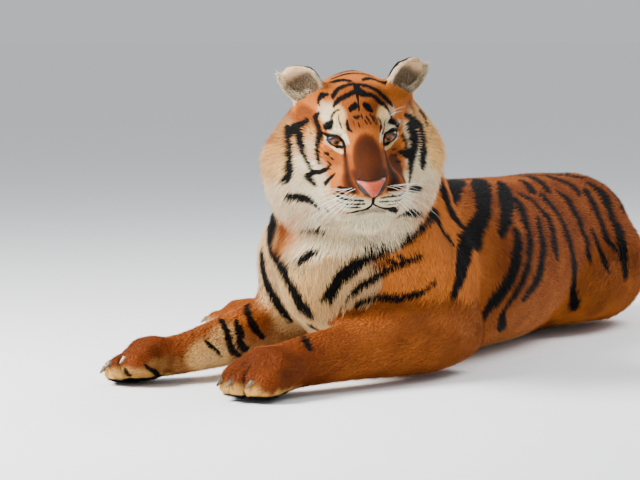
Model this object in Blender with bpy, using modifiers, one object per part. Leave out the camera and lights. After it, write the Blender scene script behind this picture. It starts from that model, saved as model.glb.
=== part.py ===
"""A life-size Amur tiger that lies on its chest and left haunch, head up and turned to its left.

The body is modelled whole: lofted tubes for the trunk, neck, legs and tail, with ellipsoid masses
over them, fused by a voxel remesh, smoothed and thinned out.  It is then taken apart, piece by
piece, where a person would name its parts.  Eyes sit in sockets and claws in the toes.

The tiger looks along -Y, its left side is at +X, and it rests on Z = 0.  Units are metres, but
the head and the paws are laid out in centimetres in frames of their own.
"""

import math

import bmesh
import bpy
import numpy as np
from mathutils import Matrix, Vector

COLLECTION = "Amur tiger"
CM = 0.01
HERE = Matrix.Identity(4)

# How the body is fused, smoothed and thinned out.
VOXEL = 0.006
BODY_STEPS = 26  # smoothing steps on the trunk and legs
HEAD_STEPS = 10
EAR_STEPS = 5
BODY_TRIANGLES = 2950  # before it is taken apart
HEAD_DETAIL = 1.25  # how much finer the head stays
HEAD_ZONE = ((0, 2, -5), 16, 5)  # cm in the head's frame: middle, radius, and width of its edge
EAR_ZONE = ((0, 0, 4.5), 5.5, 2)  # the same in the ear's frame
GAP = 0.0003  # between pieces that meet

# The head: where the point between the eyes is, and how the head is turned.
EYES_AT = Vector((0.175, -0.345, 0.545))
HEAD_TURN = math.radians(40)  # to its left
HEAD_DIP = math.radians(24)  # nose down
HEAD_TILT = math.radians(-4)
EYE_RADIUS = 1.9  # cm
EYE_PLACE = (5.7, 0.9, 0.0)  # cm, in the head's frame

# Trunk, neck and tail: x, y, z, half width, half height, roll to the left in degrees.
TRUNK = (
    (0.000, -0.200, 0.235, 0.110, 0.135, 0),  # breast
    (0.000, -0.110, 0.240, 0.155, 0.205, 0),
    (0.000, 0.020, 0.240, 0.182, 0.235, 0),  # withers
    (0.000, 0.180, 0.220, 0.210, 0.225, 0),
    (0.000, 0.360, 0.205, 0.222, 0.215, 6),  # ribs
    (-0.005, 0.560, 0.200, 0.220, 0.212, 14),
    (-0.015, 0.760, 0.200, 0.206, 0.206, 28),  # loins
    (-0.025, 0.930, 0.200, 0.204, 0.205, 42),
    (-0.030, 1.070, 0.195, 0.195, 0.200, 50),  # hips
    (-0.035, 1.170, 0.180, 0.140, 0.160, 50),
)
NECK = (
    (0.000, 0.040, 0.300, 0.155, 0.185, 0),
    (0.010, -0.070, 0.370, 0.158, 0.180, 0),
    (0.040, -0.150, 0.445, 0.152, 0.165, 0),
    (0.080, -0.205, 0.510, 0.140, 0.145, 0),
)
TAIL = (
    (0.020, 1.190, 0.140, 0.060, 0.070, 0),
    (0.000, 1.300, 0.075, 0.048, 0.050, 0),
    (-0.060, 1.400, 0.040, 0.042, 0.042, 0),
    (-0.210, 1.480, 0.037, 0.040, 0.040, 0),
    (-0.390, 1.470, 0.036, 0.038, 0.038, 0),
    (-0.540, 1.380, 0.035, 0.037, 0.037, 0),
    (-0.640, 1.250, 0.033, 0.035, 0.035, 0),
    (-0.690, 1.110, 0.028, 0.030, 0.030, 0),
)

# Legs: a tube for each bone, in the same columns as the trunk.
FORE_BONES = ("upper_arm", "forearm")
HIND_BONES = ("thigh", "shank", "foot")
LEGS = {
    "fore_left": (
        ((0.140, -0.090, 0.270, 0.085, 0.100, 0), (0.165, 0.000, 0.190, 0.080, 0.100, 0),
         (0.185, 0.075, 0.110, 0.066, 0.080, 0)),
        ((0.195, 0.095, 0.090, 0.056, 0.068, 0), (0.188, -0.030, 0.094, 0.068, 0.086, 0),
         (0.150, -0.160, 0.088, 0.066, 0.080, 0), (0.098, -0.300, 0.078, 0.060, 0.068, 0),
         (0.052, -0.415, 0.066, 0.060, 0.058, 0)),
    ),
    "fore_right": (
        ((-0.145, -0.095, 0.270, 0.085, 0.100, 0), (-0.185, -0.015, 0.190, 0.080, 0.100, 0),
         (-0.212, 0.055, 0.110, 0.066, 0.080, 0)),
        ((-0.222, 0.075, 0.088, 0.056, 0.066, 0), (-0.226, -0.050, 0.088, 0.064, 0.078, 0),
         (-0.228, -0.180, 0.082, 0.060, 0.068, 0), (-0.246, -0.300, 0.070, 0.055, 0.057, 0),
         (-0.268, -0.385, 0.058, 0.054, 0.050, 0)),
    ),
    "hind_right": (
        ((-0.040, 1.080, 0.250, 0.120, 0.140, 0), (-0.120, 0.940, 0.260, 0.105, 0.130, 0),
         (-0.205, 0.800, 0.255, 0.072, 0.088, 0)),
        ((-0.210, 0.790, 0.255, 0.068, 0.080, 0), (-0.300, 0.690, 0.165, 0.055, 0.066, 0),
         (-0.400, 0.580, 0.070, 0.042, 0.048, 0)),
        ((-0.400, 0.585, 0.060, 0.040, 0.046, 0), (-0.485, 0.520, 0.054, 0.041, 0.043, 0),
         (-0.570, 0.460, 0.050, 0.046, 0.044, 0)),
    ),
    "hind_left": (
        ((0.110, 1.050, 0.120, 0.100, 0.120, 0), (0.110, 0.890, 0.110, 0.095, 0.115, 0),
         (0.070, 0.740, 0.090, 0.070, 0.085, 0)),
        ((0.060, 0.730, 0.080, 0.065, 0.075, 0), (-0.040, 0.840, 0.065, 0.055, 0.062, 0),
         (-0.140, 0.950, 0.055, 0.040, 0.045, 0)),
        ((-0.135, 0.955, 0.052, 0.036, 0.042, 0), (-0.235, 0.900, 0.046, 0.038, 0.040, 0),
         (-0.330, 0.850, 0.044, 0.044, 0.042, 0)),
    ),
}

# Masses over the tubes: centre, radii, turn about X and Z in degrees.
MASSES = (
    ((0.110, 0.030, 0.350), (0.070, 0.125, 0.150), (-20, 0)),  # shoulder blades
    ((-0.110, 0.030, 0.350), (0.070, 0.125, 0.150), (-20, 0)),
    ((0.130, -0.060, 0.270), (0.090, 0.110, 0.140), (0, 0)),  # shoulders
    ((-0.142, -0.060, 0.250), (0.096, 0.110, 0.150), (0, 0)),
    ((0.160, 0.060, 0.200), (0.078, 0.115, 0.140), (-25, 0)),  # triceps
    ((-0.160, 0.060, 0.200), (0.078, 0.115, 0.140), (-25, 0)),
    ((0.010, -0.185, 0.300), (0.165, 0.100, 0.190), (12, 0)),  # breast
    ((0.050, -0.190, 0.390), (0.165, 0.115, 0.130), (0, 20)),  # throat
    ((-0.010, 1.100, 0.265), (0.170, 0.165, 0.135), (0, 20)),  # upper haunch
    ((0.090, 1.070, 0.155), (0.135, 0.180, 0.155), (0, 0)),  # lower haunch
    ((0.030, 1.130, 0.190), (0.150, 0.140, 0.150), (0, 0)),  # croup
)

# Paws: where the wrist or ankle is on the plan, heading, roll, lift in cm, and size.
PAWS = {
    "fore_left": ((0.052, -0.415), -22, 0, 0.0, 1.14),
    "fore_right": ((-0.268, -0.385), -30, -25, 0.8, 1.02),
    "hind_right": ((-0.565, 0.465), -60, 0, 0.0, 0.92),
    "hind_left": ((-0.315, 0.858), -62, 0, 0.0, 0.90),
}
# A paw's masses in cm, with the wrist at the origin and the toes towards -Y.
PAW_MASSES = (
    ((0.0, 0.5, 5.4), (5.2, 5.5, 4.8)),
    ((0.0, -5.2, 5.2), (6.9, 6.8, 4.8)),
    ((0.0, -8.0, 2.2), (5.8, 5.4, 2.6)),
)
TOES = ((-5.4, -9.6), (-1.9, -12.2), (1.9, -12.4), (5.4, -10.2))
TOE_RADII = (2.6, 4.3, 3.3)
TOE_HEIGHT = 3.4
TOE_SPREAD = -2.2  # degrees for each cm off the middle
# Where a paw or a foot is cut from its leg, in cm behind the wrist or ankle, and how far its cutter
# reaches to the sides, forwards, down and up.
PAW_CUTS = {"fore": -1.0, "hind": 17.0}
PAW_REACH = (11.0, 22.0, 6.0, 13.0)
BONE_CUTS = (0.040, 0.026)  # how far a bone's cutter stands off its tube

# A claw in cm from the middle of its toe: y, z, half width and half height.
CLAW = ((-1.6, 0.5, 0.45, 0.62), (-3.5, 0.6, 0.42, 0.58), (-4.6, -0.4, 0.12, 0.18))

# The head's sections in cm, from the nose to the nape: y, height of the widest level, half width
# there, and how far the section reaches above and below it.
HEAD_SECTIONS = (
    (-12.6, -7.0, 3.0, 1.9, 2.6),  # nose
    (-11.2, -7.6, 5.4, 3.4, 4.4),
    (-9.2, -8.0, 7.4, 4.4, 7.4),  # whisker pads
    (-7.0, -8.2, 8.4, 5.4, 9.8),
    (-4.4, -8.2, 9.4, 6.8, 11.4),  # corners of the mouth
    (-2.0, -7.4, 11.0, 7.6, 13.6),
    (0.0, -6.6, 12.8, 9.6, 16.4),  # eyes
    (2.0, -7.0, 15.2, 13.2, 18.6),
    (4.5, -8.4, 18.0, 17.6, 19.6),
    (7.5, -9.2, 20.0, 19.8, 19.4),  # ruff and crown
    (10.5, -9.0, 20.4, 19.6, 17.6),
    (14.0, -8.0, 18.6, 17.6, 14.0),
    (18.0, -6.0, 14.0, 14.2, 9.0),
)
PEAKED, SQUARE = 1.5, 2.8  # how full a section is above and below its widest level

# Masses over them in cm: centre, radii, and turn about X and Z in degrees.  Those off the middle
# are made on both sides.
HEAD = (
    ((0.0, 7.6, 3.2), (8.4, 7.2, 7.4), (0, 0)),  # forehead
    ((4.6, 3.0, 3.3), (4.0, 2.9, 2.4), (0, 18)),  # brows
    ((7.4, 2.0, -4.0), (4.8, 4.0, 3.0), (0, 28)),  # cheekbones
    ((4.2, -7.6, -8.3), (4.4, 5.0, 4.2), (-12, -10)),  # whisker pads
    ((0.0, -7.8, -13.8), (4.4, 3.9, 3.8), (0, 0)),  # chin
)
NOSE_BRIDGE = (
    (0.0, -12.0, -5.6, 3.4, 2.2, 0),
    (0.0, -9.2, -4.6, 3.9, 2.9, 0),
    (0.0, -5.8, -3.0, 4.3, 3.4, 0),
    (0.0, -2.4, -0.9, 4.5, 3.8, 0),
    (0.0, 1.6, 1.4, 5.6, 4.6, 0),
)
EAR_PLACE = (9.4, 9.0, 6.0)  # cm, the middle of the ear's base
EAR_SIZE = (5.2, 6.0)  # half width and half height of the disc
EAR_TURN = (-8, 38, -22)  # leans, splays outwards and opens to the side, degrees
EAR_MIDDLE = 3.6  # cm from the base to the middle of the disc
# The rim's beads: radii, how far in from the edge, and how far past half a turn they go.
EAR_RIM = ((1.25, 1.0, 1.35), (1.2, 1.9), 0.12)
EAR_PLATE = ((0, 1.7, EAR_MIDDLE), (EAR_SIZE[0] - 0.9, 1.15, EAR_SIZE[1] - 1.5))
EAR_ROOT = ((0, 1.0, -0.8), (EAR_SIZE[0] - 1.0, 2.3, 3.4))

# Box cutters: lowest and highest corner.  The ears' and the muzzle's are in the ear's and the
# head's frames, and the head's and the neck's in frames of their own, which lie on the cut.
EAR_CUT = ((-8, -5, 0.8), (8, 5, 14))
MUZZLE_CUT = ((-14, -20, -26), (14, -4.6, 6))
HEAD_CUT_AT, HEAD_CUT_LEAN = (0, 19, 4), -16  # cm in the head's frame, degrees
HEAD_CUT = ((-30, -50, -33), (30, 0, 30))
NECK_CUT_AT, NECK_CUT_LEAN = (0, 0.06, 0.47), 26
NECK_CUT = ((-0.3, -0.6, 0), (0.3, 0.05, 0.4))
TRUNK_CUTS = (("chest", -0.6, 0.36), ("loins", 0.3, 0.84))  # the rest is the rump
TRUNK_REACH = 0.5
TAIL_LENGTHS = (("tail_tip", 5, 8), ("tail_middle", 3, 6), ("tail_base", 0, 4))  # stations
TAIL_CUT = 0.026

# Colour and roughness of each finish.
FINISHES = {
    "coat": ((0.60, 0.23, 0.05, 1.0), 0.8),
    "eye": ((0.45, 0.24, 0.04, 1.0), 0.1),
    "claw": ((0.06, 0.05, 0.04, 1.0), 0.35),
}


def head_frame():
    """Head centimetres to metres in the world: the head tilts, dips, turns and moves into place."""
    turn = Matrix.Rotation(HEAD_TURN, 4, "Z") @ Matrix.Rotation(HEAD_DIP, 4, "X")
    return Matrix.Translation(EYES_AT) @ turn @ Matrix.Rotation(HEAD_TILT, 4, "Y") @ Matrix.Scale(CM, 4)


def ear_frame(side):
    """Ear centimetres, base at the origin and tip towards +Z, to metres in the world."""
    x, y, z = EAR_PLACE
    lean, splay, opening = (math.radians(a) for a in EAR_TURN)
    turn = Matrix.Rotation(side * splay, 4, "Y") @ Matrix.Rotation(lean, 4, "X")
    turn = turn @ Matrix.Rotation(side * -opening, 4, "Z")
    return head_frame() @ Matrix.Translation((side * x, y, z)) @ turn


def paw_frame(leg):
    """Paw centimetres to metres in the world."""
    (x, y), heading, roll, lift, size = PAWS[leg]
    turn = Matrix.Rotation(math.radians(heading), 4, "Z") @ Matrix.Rotation(math.radians(roll), 4, "Y")
    return Matrix.Translation((x, y, lift * CM)) @ turn @ Matrix.Scale(CM * size, 4)


def unit_ball():
    """A ball of radius 1, which every mass is a stretched copy of."""
    ball = bmesh.new()
    bmesh.ops.create_uvsphere(ball, u_segments=24, v_segments=16, radius=1)
    mesh = bpy.data.meshes.new("ball")
    ball.to_mesh(mesh)
    ball.free()
    return mesh


def mass(flesh, centre, radii, turn=(0, 0), frame=HERE):
    """Adds an ellipsoid."""
    about_x, about_z = (math.radians(a) for a in turn)
    place = Matrix.Translation(centre) @ Matrix.Rotation(about_z, 4, "Z") @ Matrix.Rotation(about_x, 4, "X")
    ball = (bpy.data.meshes.get("ball") or unit_ball()).copy()
    ball.transform(frame @ place @ Matrix.Diagonal((*radii, 1)))
    flesh.from_mesh(ball)
    bpy.data.meshes.remove(ball)


def smooth_stations(stations, per_span):
    """Catmull-Rom values between the stations, with the first and last ones repeated."""
    rows = np.array((stations[0], *stations, stations[-1]), float)
    made = []
    for i in range(1, len(rows) - 2):
        before, start, end, after = rows[i - 1 : i + 3]
        bend = 2 * before - 5 * start + 4 * end - after
        twist = 3 * start - before - 3 * end + after
        for t in np.arange(per_span) / per_span:
            made.append(0.5 * (2 * start + (end - before) * t + bend * t**2 + twist * t**3))
    return np.array([*made, rows[-1]])


def skin_over(flesh, loops):
    """Joins loops of points with triangles, always split the same way, and closes both ends."""
    for low, high in zip(loops, loops[1:]):
        for i in range(len(low)):
            j = (i + 1) % len(low)
            flesh.faces.new((low[i], low[j], high[j]))
            flesh.faces.new((low[i], high[j], high[i]))
    flesh.faces.new(loops[0][::-1])
    flesh.faces.new(loops[-1])


ROUND_END = (30, 55, 75, 86)  # degrees round an end at which its rings lie


def loft(flesh, stations, frame=HERE, side=(1, 0, 0), around=24, per_span=5, caps=ROUND_END, grow=0.0):
    """Adds a tube with oval sections through the stations, grown by so much, with rounded ends."""
    rows = smooth_stations(stations, per_span)
    centres, halves, rolls = rows[:, :3], rows[:, 3:5] + grow, np.radians(rows[:, 5])
    along = np.gradient(centres, axis=0)
    along /= np.linalg.norm(along, axis=1)[:, None]
    rings = [(centres[i], along[i], halves[i], rolls[i]) for i in range(len(rows))]
    for end, sign in ((0, -1), (-1, 1)):  # each end closes as half an ellipsoid
        reach = halves[end].mean()
        cap = []
        for a in np.radians(caps):
            centre = centres[end] + sign * reach * math.sin(a) * along[end]
            cap.append((centre, along[end], halves[end] * math.cos(a), rolls[end]))
        rings = cap[::-1] + rings if end == 0 else rings + cap
    loops = []
    for centre, forward, half, roll in rings:
        forward = Vector(forward)
        across = (Vector(side) - forward * forward.dot(Vector(side))).normalized()
        across = Matrix.Rotation(roll, 3, forward) @ across
        upward = forward.cross(across)
        loop = []
        for a in np.arange(around) * 2 * math.pi / around:
            point = Vector(centre) + across * (half[0] * math.cos(a)) + upward * (half[1] * math.sin(a))
            loop.append(flesh.verts.new(frame @ point))
        loops.append(loop)
    skin_over(flesh, loops)


def fullness(angles, exponent):
    """Cosines and sines pushed outwards or inwards, as on a superellipse."""
    return [np.sign(f) * np.abs(f) ** (2 / exponent) for f in (np.cos(angles), np.sin(angles))]


def sections(flesh, stations, frame, around=40, per_span=3):
    """Adds a body of upright sections, each peaked above its widest level and full below it."""
    rows = smooth_stations(stations, per_span)
    angles = np.arange(around) * 2 * math.pi / around
    peaked, square = fullness(angles, PEAKED), fullness(angles, SQUARE)
    above = np.sin(angles) >= 0
    loops = []
    for y, level, half, rise, drop in rows:
        across = half * np.where(above, peaked[0], square[0])
        upward = np.where(above, rise * peaked[1], drop * square[1])
        loops.append([flesh.verts.new(frame @ Vector((x, y, level + z))) for x, z in zip(across, upward)])
    skin_over(flesh, loops)


def mesh_from(flesh, name):
    """Closes a bmesh into a mesh whose faces point outwards."""
    bmesh.ops.recalc_face_normals(flesh, faces=flesh.faces)
    mesh = bpy.data.meshes.new(name)
    flesh.to_mesh(mesh)
    flesh.free()
    return mesh


def applied(obj):
    """Puts the mesh that the object's modifiers make in place of its old one."""
    bpy.context.view_layer.update()
    mesh = bpy.data.meshes.new_from_object(obj.evaluated_get(bpy.context.evaluated_depsgraph_get()))
    obj.modifiers.clear()
    obj.data = mesh
    return obj


def paw_masses(flesh, leg):
    frame = paw_frame(leg)
    for centre, radii in PAW_MASSES:
        mass(flesh, centre, radii, frame=frame)
    for x, y in TOES:
        mass(flesh, (x, y, TOE_HEIGHT), TOE_RADII, (8, TOE_SPREAD * x), frame)


def head_masses(flesh):
    frame = head_frame()
    sections(flesh, HEAD_SECTIONS, frame)
    for (x, y, z), radii, (about_x, about_z) in HEAD:
        for side in (1, -1) if x else (1,):
            mass(flesh, (side * x, y, z), radii, (about_x, side * about_z), frame)
    loft(flesh, NOSE_BRIDGE, frame)


def ear_masses(flesh, side):
    """Adds an ear: a round disc with a thicker rim, which leaves a hollow at the front."""
    frame = ear_frame(side)
    bead, (inset, drop), past = EAR_RIM
    wide, high = EAR_SIZE[0] - inset, EAR_SIZE[1] - drop
    for a in np.linspace(-past * math.pi, (1 + past) * math.pi, 17):  # the rim, over the tip
        place = (-side * math.cos(a) * wide, 0.2, EAR_MIDDLE + math.sin(a) * high)
        mass(flesh, place, bead, frame=frame)
    for centre, radii in (EAR_PLATE, EAR_ROOT):
        mass(flesh, centre, radii, frame=frame)


def flesh_mesh():
    """All the tubes and masses, still passing through each other."""
    flesh = bmesh.new()
    loft(flesh, TRUNK, around=32)
    loft(flesh, NECK, around=32)
    loft(flesh, TAIL, side=(0, 0, 1), around=16)
    for centre, radii, turn in MASSES:
        mass(flesh, centre, radii, turn)
    for leg, bones in LEGS.items():
        for bone in bones:
            loft(flesh, bone, side=(0, 0, 1) if leg.startswith("hind") else (1, 0, 0))
        paw_masses(flesh, leg)
    head_masses(flesh)
    for side in (1, -1):
        ear_masses(flesh, side)
    return mesh_from(flesh, "body")


def weigh(body, name, weights):
    """Adds a vertex group with these weights."""
    group = body.vertex_groups.new(name=name)
    for index in np.flatnonzero(weights > 0):
        group.add([int(index)], float(weights[index]), "REPLACE")
    return name


def within(points, frame, middle, radius, edge):
    """1 inside a ball of a frame, 0 outside it, and between the two across its edge."""
    local = points @ np.array(frame.inverted()).T
    return np.clip((radius - np.linalg.norm(local[:, :3] - middle, axis=1)) / edge + 0.5, 0, 1)


def zones(body):
    """How much of each point is body, head and ear, as three vertex groups."""
    points = np.empty(len(body.data.vertices) * 3, np.float32)
    body.data.vertices.foreach_get("co", points)
    points = np.column_stack((points.reshape(-1, 3), np.ones(len(points) // 3)))
    head = within(points, head_frame(), *HEAD_ZONE)
    ear = np.maximum(*(within(points, ear_frame(side), *EAR_ZONE) for side in (1, -1)))
    head = np.maximum(head, ear)
    weights = {"body": 1 - head, "head": head * (1 - ear), "ear": ear}
    return [weigh(body, name, weight) for name, weight in weights.items()], head


def fuse(body):
    """One skin round all the masses, smoothed least where the detail is finest."""
    remesh = body.modifiers.new("fuse", "REMESH")
    remesh.mode = "VOXEL"
    remesh.voxel_size = VOXEL
    applied(body)
    groups = zones(body)[0]
    for group, steps in zip(groups, (BODY_STEPS, HEAD_STEPS, EAR_STEPS)):
        smooth = body.modifiers.new(group, "SMOOTH")
        smooth.factor, smooth.iterations = 0.5, steps
        smooth.vertex_group = group
    return applied(body)


def thin_out(body):
    """Fewer triangles, most of them left on the head."""
    head = zones(body)[1]
    group = weigh(body, "detail", 1 / (1 + (HEAD_DETAIL - 1) * head))
    fewer = body.modifiers.new("thin out", "DECIMATE")
    fewer.ratio = BODY_TRIANGLES / (2 * len(body.data.polygons))
    fewer.vertex_group = group
    fewer.vertex_group_factor = 1
    return applied(body)


def helper(flesh, name, helpers):
    """A cutter, which is left out of the build."""
    made = bpy.data.objects.new(name, mesh_from(flesh, name))
    made.hide_render = True
    made.display_type = "WIRE"
    helpers.objects.link(made)
    return made


def boolean(obj, cutter, operation, solver="MANIFOLD"):
    """Cuts with the manifold solver, because the exact one loses the loins."""
    modifier = obj.modifiers.new(operation, "BOOLEAN")
    modifier.operation = operation
    modifier.solver = solver
    modifier.use_self = solver == "EXACT"  # heals folds that thinning out made pass through
    modifier.object = cutter
    return applied(obj)


def block(flesh, corners, frame=HERE, grow=0.0):
    """Adds a box between two corners of a frame, grown by so much on every side."""
    low, high = Vector(corners[0]), Vector(corners[1])
    made = bmesh.ops.create_cube(flesh, size=1)["verts"]
    bmesh.ops.scale(flesh, vec=high - low + Vector((2 * grow,) * 3), verts=made)
    bmesh.ops.translate(flesh, vec=(low + high) / 2, verts=made)
    bmesh.ops.transform(flesh, matrix=frame, verts=made)


def largest_piece(obj):
    """Drops the crumbs that a cut leaves, so that one closed body remains."""
    flesh = bmesh.new()
    flesh.from_mesh(obj.data)
    pieces, seen = [], set()
    for seed in flesh.verts:
        if seed in seen:
            continue
        piece, front = [], [seed]
        seen.add(seed)
        while front:
            vertex = front.pop()
            piece.append(vertex)
            fresh = {edge.other_vert(vertex) for edge in vertex.link_edges} - seen
            seen |= fresh
            front.extend(fresh)
        pieces.append(piece)
    pieces.sort(key=len)
    crumbs = [vertex for piece in pieces[:-1] for vertex in piece]
    bmesh.ops.delete(flesh, geom=crumbs, context="VERTS")
    flesh.to_mesh(obj.data)
    flesh.free()


def leg_cutters(leg):
    """Each piece of a leg from the toes up: its name, and what adds its cutter to a bmesh."""
    side, reach, down, up = PAW_REACH
    kind = leg.split("_")[0]
    corners = ((-side, -reach, -down), (side, PAW_CUTS[kind], up))
    last = "paw" if kind == "fore" else "foot"
    yield f"{leg}_{last}", lambda flesh, grow: block(flesh, corners, paw_frame(leg), grow / CM)
    bones = tuple(zip(FORE_BONES if kind == "fore" else HIND_BONES[:2], LEGS[leg], BONE_CUTS))
    for bone, stations, stand_off in reversed(bones):
        def tube(flesh, grow, stations=stations, stand_off=stand_off):
            coarse_tube(flesh, stations, stand_off + grow, (0, 0, 1) if kind == "hind" else (1, 0, 0))
        yield f"{leg}_{bone}", tube


def coarse_tube(flesh, stations, grow, side):
    loft(flesh, stations, side=side, around=8, per_span=1, caps=(50,), grow=grow)


def cutters():
    """Every piece but the rump, in the order that they are taken off."""
    for leg in LEGS:
        yield from leg_cutters(leg)
    for name, first, last in TAIL_LENGTHS:
        def length(flesh, grow, stations=TAIL[first:last]):
            coarse_tube(flesh, stations, TAIL_CUT + grow, (0, 0, 1))
        yield name, length
    for name, side in (("ear_left", 1), ("ear_right", -1)):
        yield name, lambda flesh, grow, side=side: block(flesh, EAR_CUT, ear_frame(side), grow / CM)
    yield "muzzle", lambda flesh, grow: block(flesh, MUZZLE_CUT, head_frame(), grow / CM)
    lean = Matrix.Translation(HEAD_CUT_AT) @ Matrix.Rotation(math.radians(HEAD_CUT_LEAN), 4, "X")
    yield "head", lambda flesh, grow: block(flesh, HEAD_CUT, head_frame() @ lean, grow / CM)
    lean = Matrix.Translation(NECK_CUT_AT) @ Matrix.Rotation(math.radians(NECK_CUT_LEAN), 4, "X")
    yield "neck", lambda flesh, grow: block(flesh, NECK_CUT, lean, grow)
    for name, front, back in TRUNK_CUTS:
        corners = ((-TRUNK_REACH, front, -TRUNK_REACH), (TRUNK_REACH, back, 2 * TRUNK_REACH))
        yield name, lambda flesh, grow, corners=corners: block(flesh, corners, HERE, grow)


def take_apart(body, pieces, helpers):
    """Takes each piece off the body: what is inside one cutter, with what is outside one a gap
    larger left for the next.  The rump remains."""
    for name, shape in cutters():
        piece = bpy.data.objects.new(name, body.data.copy())
        pieces.objects.link(piece)
        for obj, operation, grow in ((piece, "INTERSECT", 0.0), (body, "DIFFERENCE", GAP)):
            flesh = bmesh.new()
            shape(flesh, grow)
            boolean(obj, helper(flesh, f"{name}_{operation.lower()}", helpers), operation)
            largest_piece(obj)
    body.name = "rump"


def stand_on_floor(body, helpers):
    """Cuts off all that reaches below the floor, which leaves small flats at one level."""
    flesh = bmesh.new()
    block(flesh, ((-2, -2, -1), (2, 2, 0)))
    boolean(body, helper(flesh, "floor", helpers), "DIFFERENCE", "EXACT")


def ball(flesh, centre, radius, frame, segments=(14, 8)):
    around, rings = segments
    place = frame @ Matrix.Translation(centre) @ Matrix.Scale(radius, 4)
    bmesh.ops.create_uvsphere(flesh, u_segments=around, v_segments=rings, radius=1, matrix=place)


def add_inset(name, shape, holder, pieces, helpers):
    """Sets a small piece into the one that holds it, in a socket a gap larger."""
    flesh = bmesh.new()
    shape(flesh, GAP / CM)
    boolean(holder, helper(flesh, f"{name}_socket", helpers), "DIFFERENCE")
    largest_piece(holder)
    flesh = bmesh.new()
    shape(flesh, 0.0)
    pieces.objects.link(bpy.data.objects.new(name, mesh_from(flesh, name)))


def eyes(pieces, helpers):
    x, y, z = EYE_PLACE
    for name, side in (("eye_left", 1), ("eye_right", -1)):
        def shape(flesh, grow, side=side):
            ball(flesh, (side * x, y, z), EYE_RADIUS + grow, head_frame())
        add_inset(name, shape, pieces.objects["head"], pieces, helpers)


def claws(pieces, helpers):
    """Four claws on each foot, drawn in so that little more than their tips shows."""
    for leg in LEGS:
        holder = pieces.objects[f"{leg}_paw" if leg.startswith("fore") else f"{leg}_foot"]
        for number, (x, y) in enumerate(TOES, 1):
            turn = Matrix.Rotation(math.radians(TOE_SPREAD * x), 4, "Z")
            frame = paw_frame(leg) @ Matrix.Translation((x, y, TOE_HEIGHT)) @ turn
            def shape(flesh, grow, frame=frame):
                stations = [
                    (0, y + end * grow, z, half + grow, high + grow, 0)
                    for (y, z, half, high), end in zip(CLAW, (1, 0, -1))
                ]
                loft(flesh, stations, frame, around=5, per_span=1, caps=())
            add_inset(f"{leg}_claw_{number}", shape, holder, pieces, helpers)


def finish(pieces):
    """Gives each piece its material, and puts the middle of the tiger's foot print at the origin."""
    bounds = np.array([corner[:] for piece in pieces.objects for corner in piece.bound_box])
    middle = (bounds.min(axis=0) + bounds.max(axis=0)) / 2
    for piece in pieces.objects:
        piece.data.transform(Matrix.Translation((-middle[0], -middle[1], -bounds[:, 2].min())))
        kind = "claw" if "claw" in piece.name else "eye" if "eye" in piece.name else "coat"
        piece.data.materials.clear()
        piece.data.materials.append(material(f"{piece.name}_{kind}", *FINISHES[kind]))


def material(name, colour, roughness):
    made = bpy.data.materials.new(name)
    made.use_nodes = True
    shader = made.node_tree.nodes["Principled BSDF"]
    shader.inputs["Base Color"].default_value = colour
    shader.inputs["Roughness"].default_value = roughness
    return made


def build():
    for old in list(bpy.data.objects):
        bpy.data.objects.remove(old)
    pieces = bpy.data.collections.new(COLLECTION)
    helpers = bpy.data.collections.new("cutters")
    for collection in (pieces, helpers):
        bpy.context.scene.collection.children.link(collection)
    body = bpy.data.objects.new("body", flesh_mesh())
    pieces.objects.link(body)
    fuse(body)
    thin_out(body)
    stand_on_floor(body, helpers)
    take_apart(body, pieces, helpers)
    eyes(pieces, helpers)
    claws(pieces, helpers)
    finish(pieces)


if __name__ == "__main__":
    build()
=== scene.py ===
"""The looks of a life-size Amur tiger that lies on its chest and left haunch.

One skin is drawn over all the CAD pieces of flesh and sunk by the depth of the coat.  It carries
the markings and the lie of the hair, and the coat's tufts, the lids, the nose and the whiskers
are worked out from it.  The tiger looks along -Y and its left side is at +X.  The head has a
frame of its own in centimetres: the origin between the eyes, -Y forwards, +X to its left.
"""

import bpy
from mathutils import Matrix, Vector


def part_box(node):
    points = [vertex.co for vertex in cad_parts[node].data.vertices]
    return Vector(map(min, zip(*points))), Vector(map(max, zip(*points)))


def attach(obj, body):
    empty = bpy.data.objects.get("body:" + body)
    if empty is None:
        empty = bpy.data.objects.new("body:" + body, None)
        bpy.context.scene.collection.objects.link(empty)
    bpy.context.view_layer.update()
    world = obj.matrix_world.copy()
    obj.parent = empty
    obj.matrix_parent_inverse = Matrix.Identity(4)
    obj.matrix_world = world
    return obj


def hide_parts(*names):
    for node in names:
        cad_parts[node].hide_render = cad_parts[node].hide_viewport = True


bl_info = {
    "name": "Amur tiger",
    "version": (1, 0, 0),
    "blender": (4, 5, 0),
    "location": "3D View > Sidebar > Tiger",
    "description": "Skin, coat, eyes and whiskers of a lying tiger",
    "category": "Object",
}

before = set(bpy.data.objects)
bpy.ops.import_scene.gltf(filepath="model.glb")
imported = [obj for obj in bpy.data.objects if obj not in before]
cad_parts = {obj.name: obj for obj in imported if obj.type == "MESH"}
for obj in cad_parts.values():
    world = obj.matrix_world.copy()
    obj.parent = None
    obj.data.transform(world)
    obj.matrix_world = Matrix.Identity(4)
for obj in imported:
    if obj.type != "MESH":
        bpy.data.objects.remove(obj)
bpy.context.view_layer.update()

import math
from contextlib import contextmanager

import bmesh
import bpy
import numpy as np
from bpy.props import FloatProperty, FloatVectorProperty, IntProperty, PointerProperty
from mathutils import Matrix, Vector
from mathutils.bvhtree import BVHTree

CM = 0.01
MM = 0.001

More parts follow.
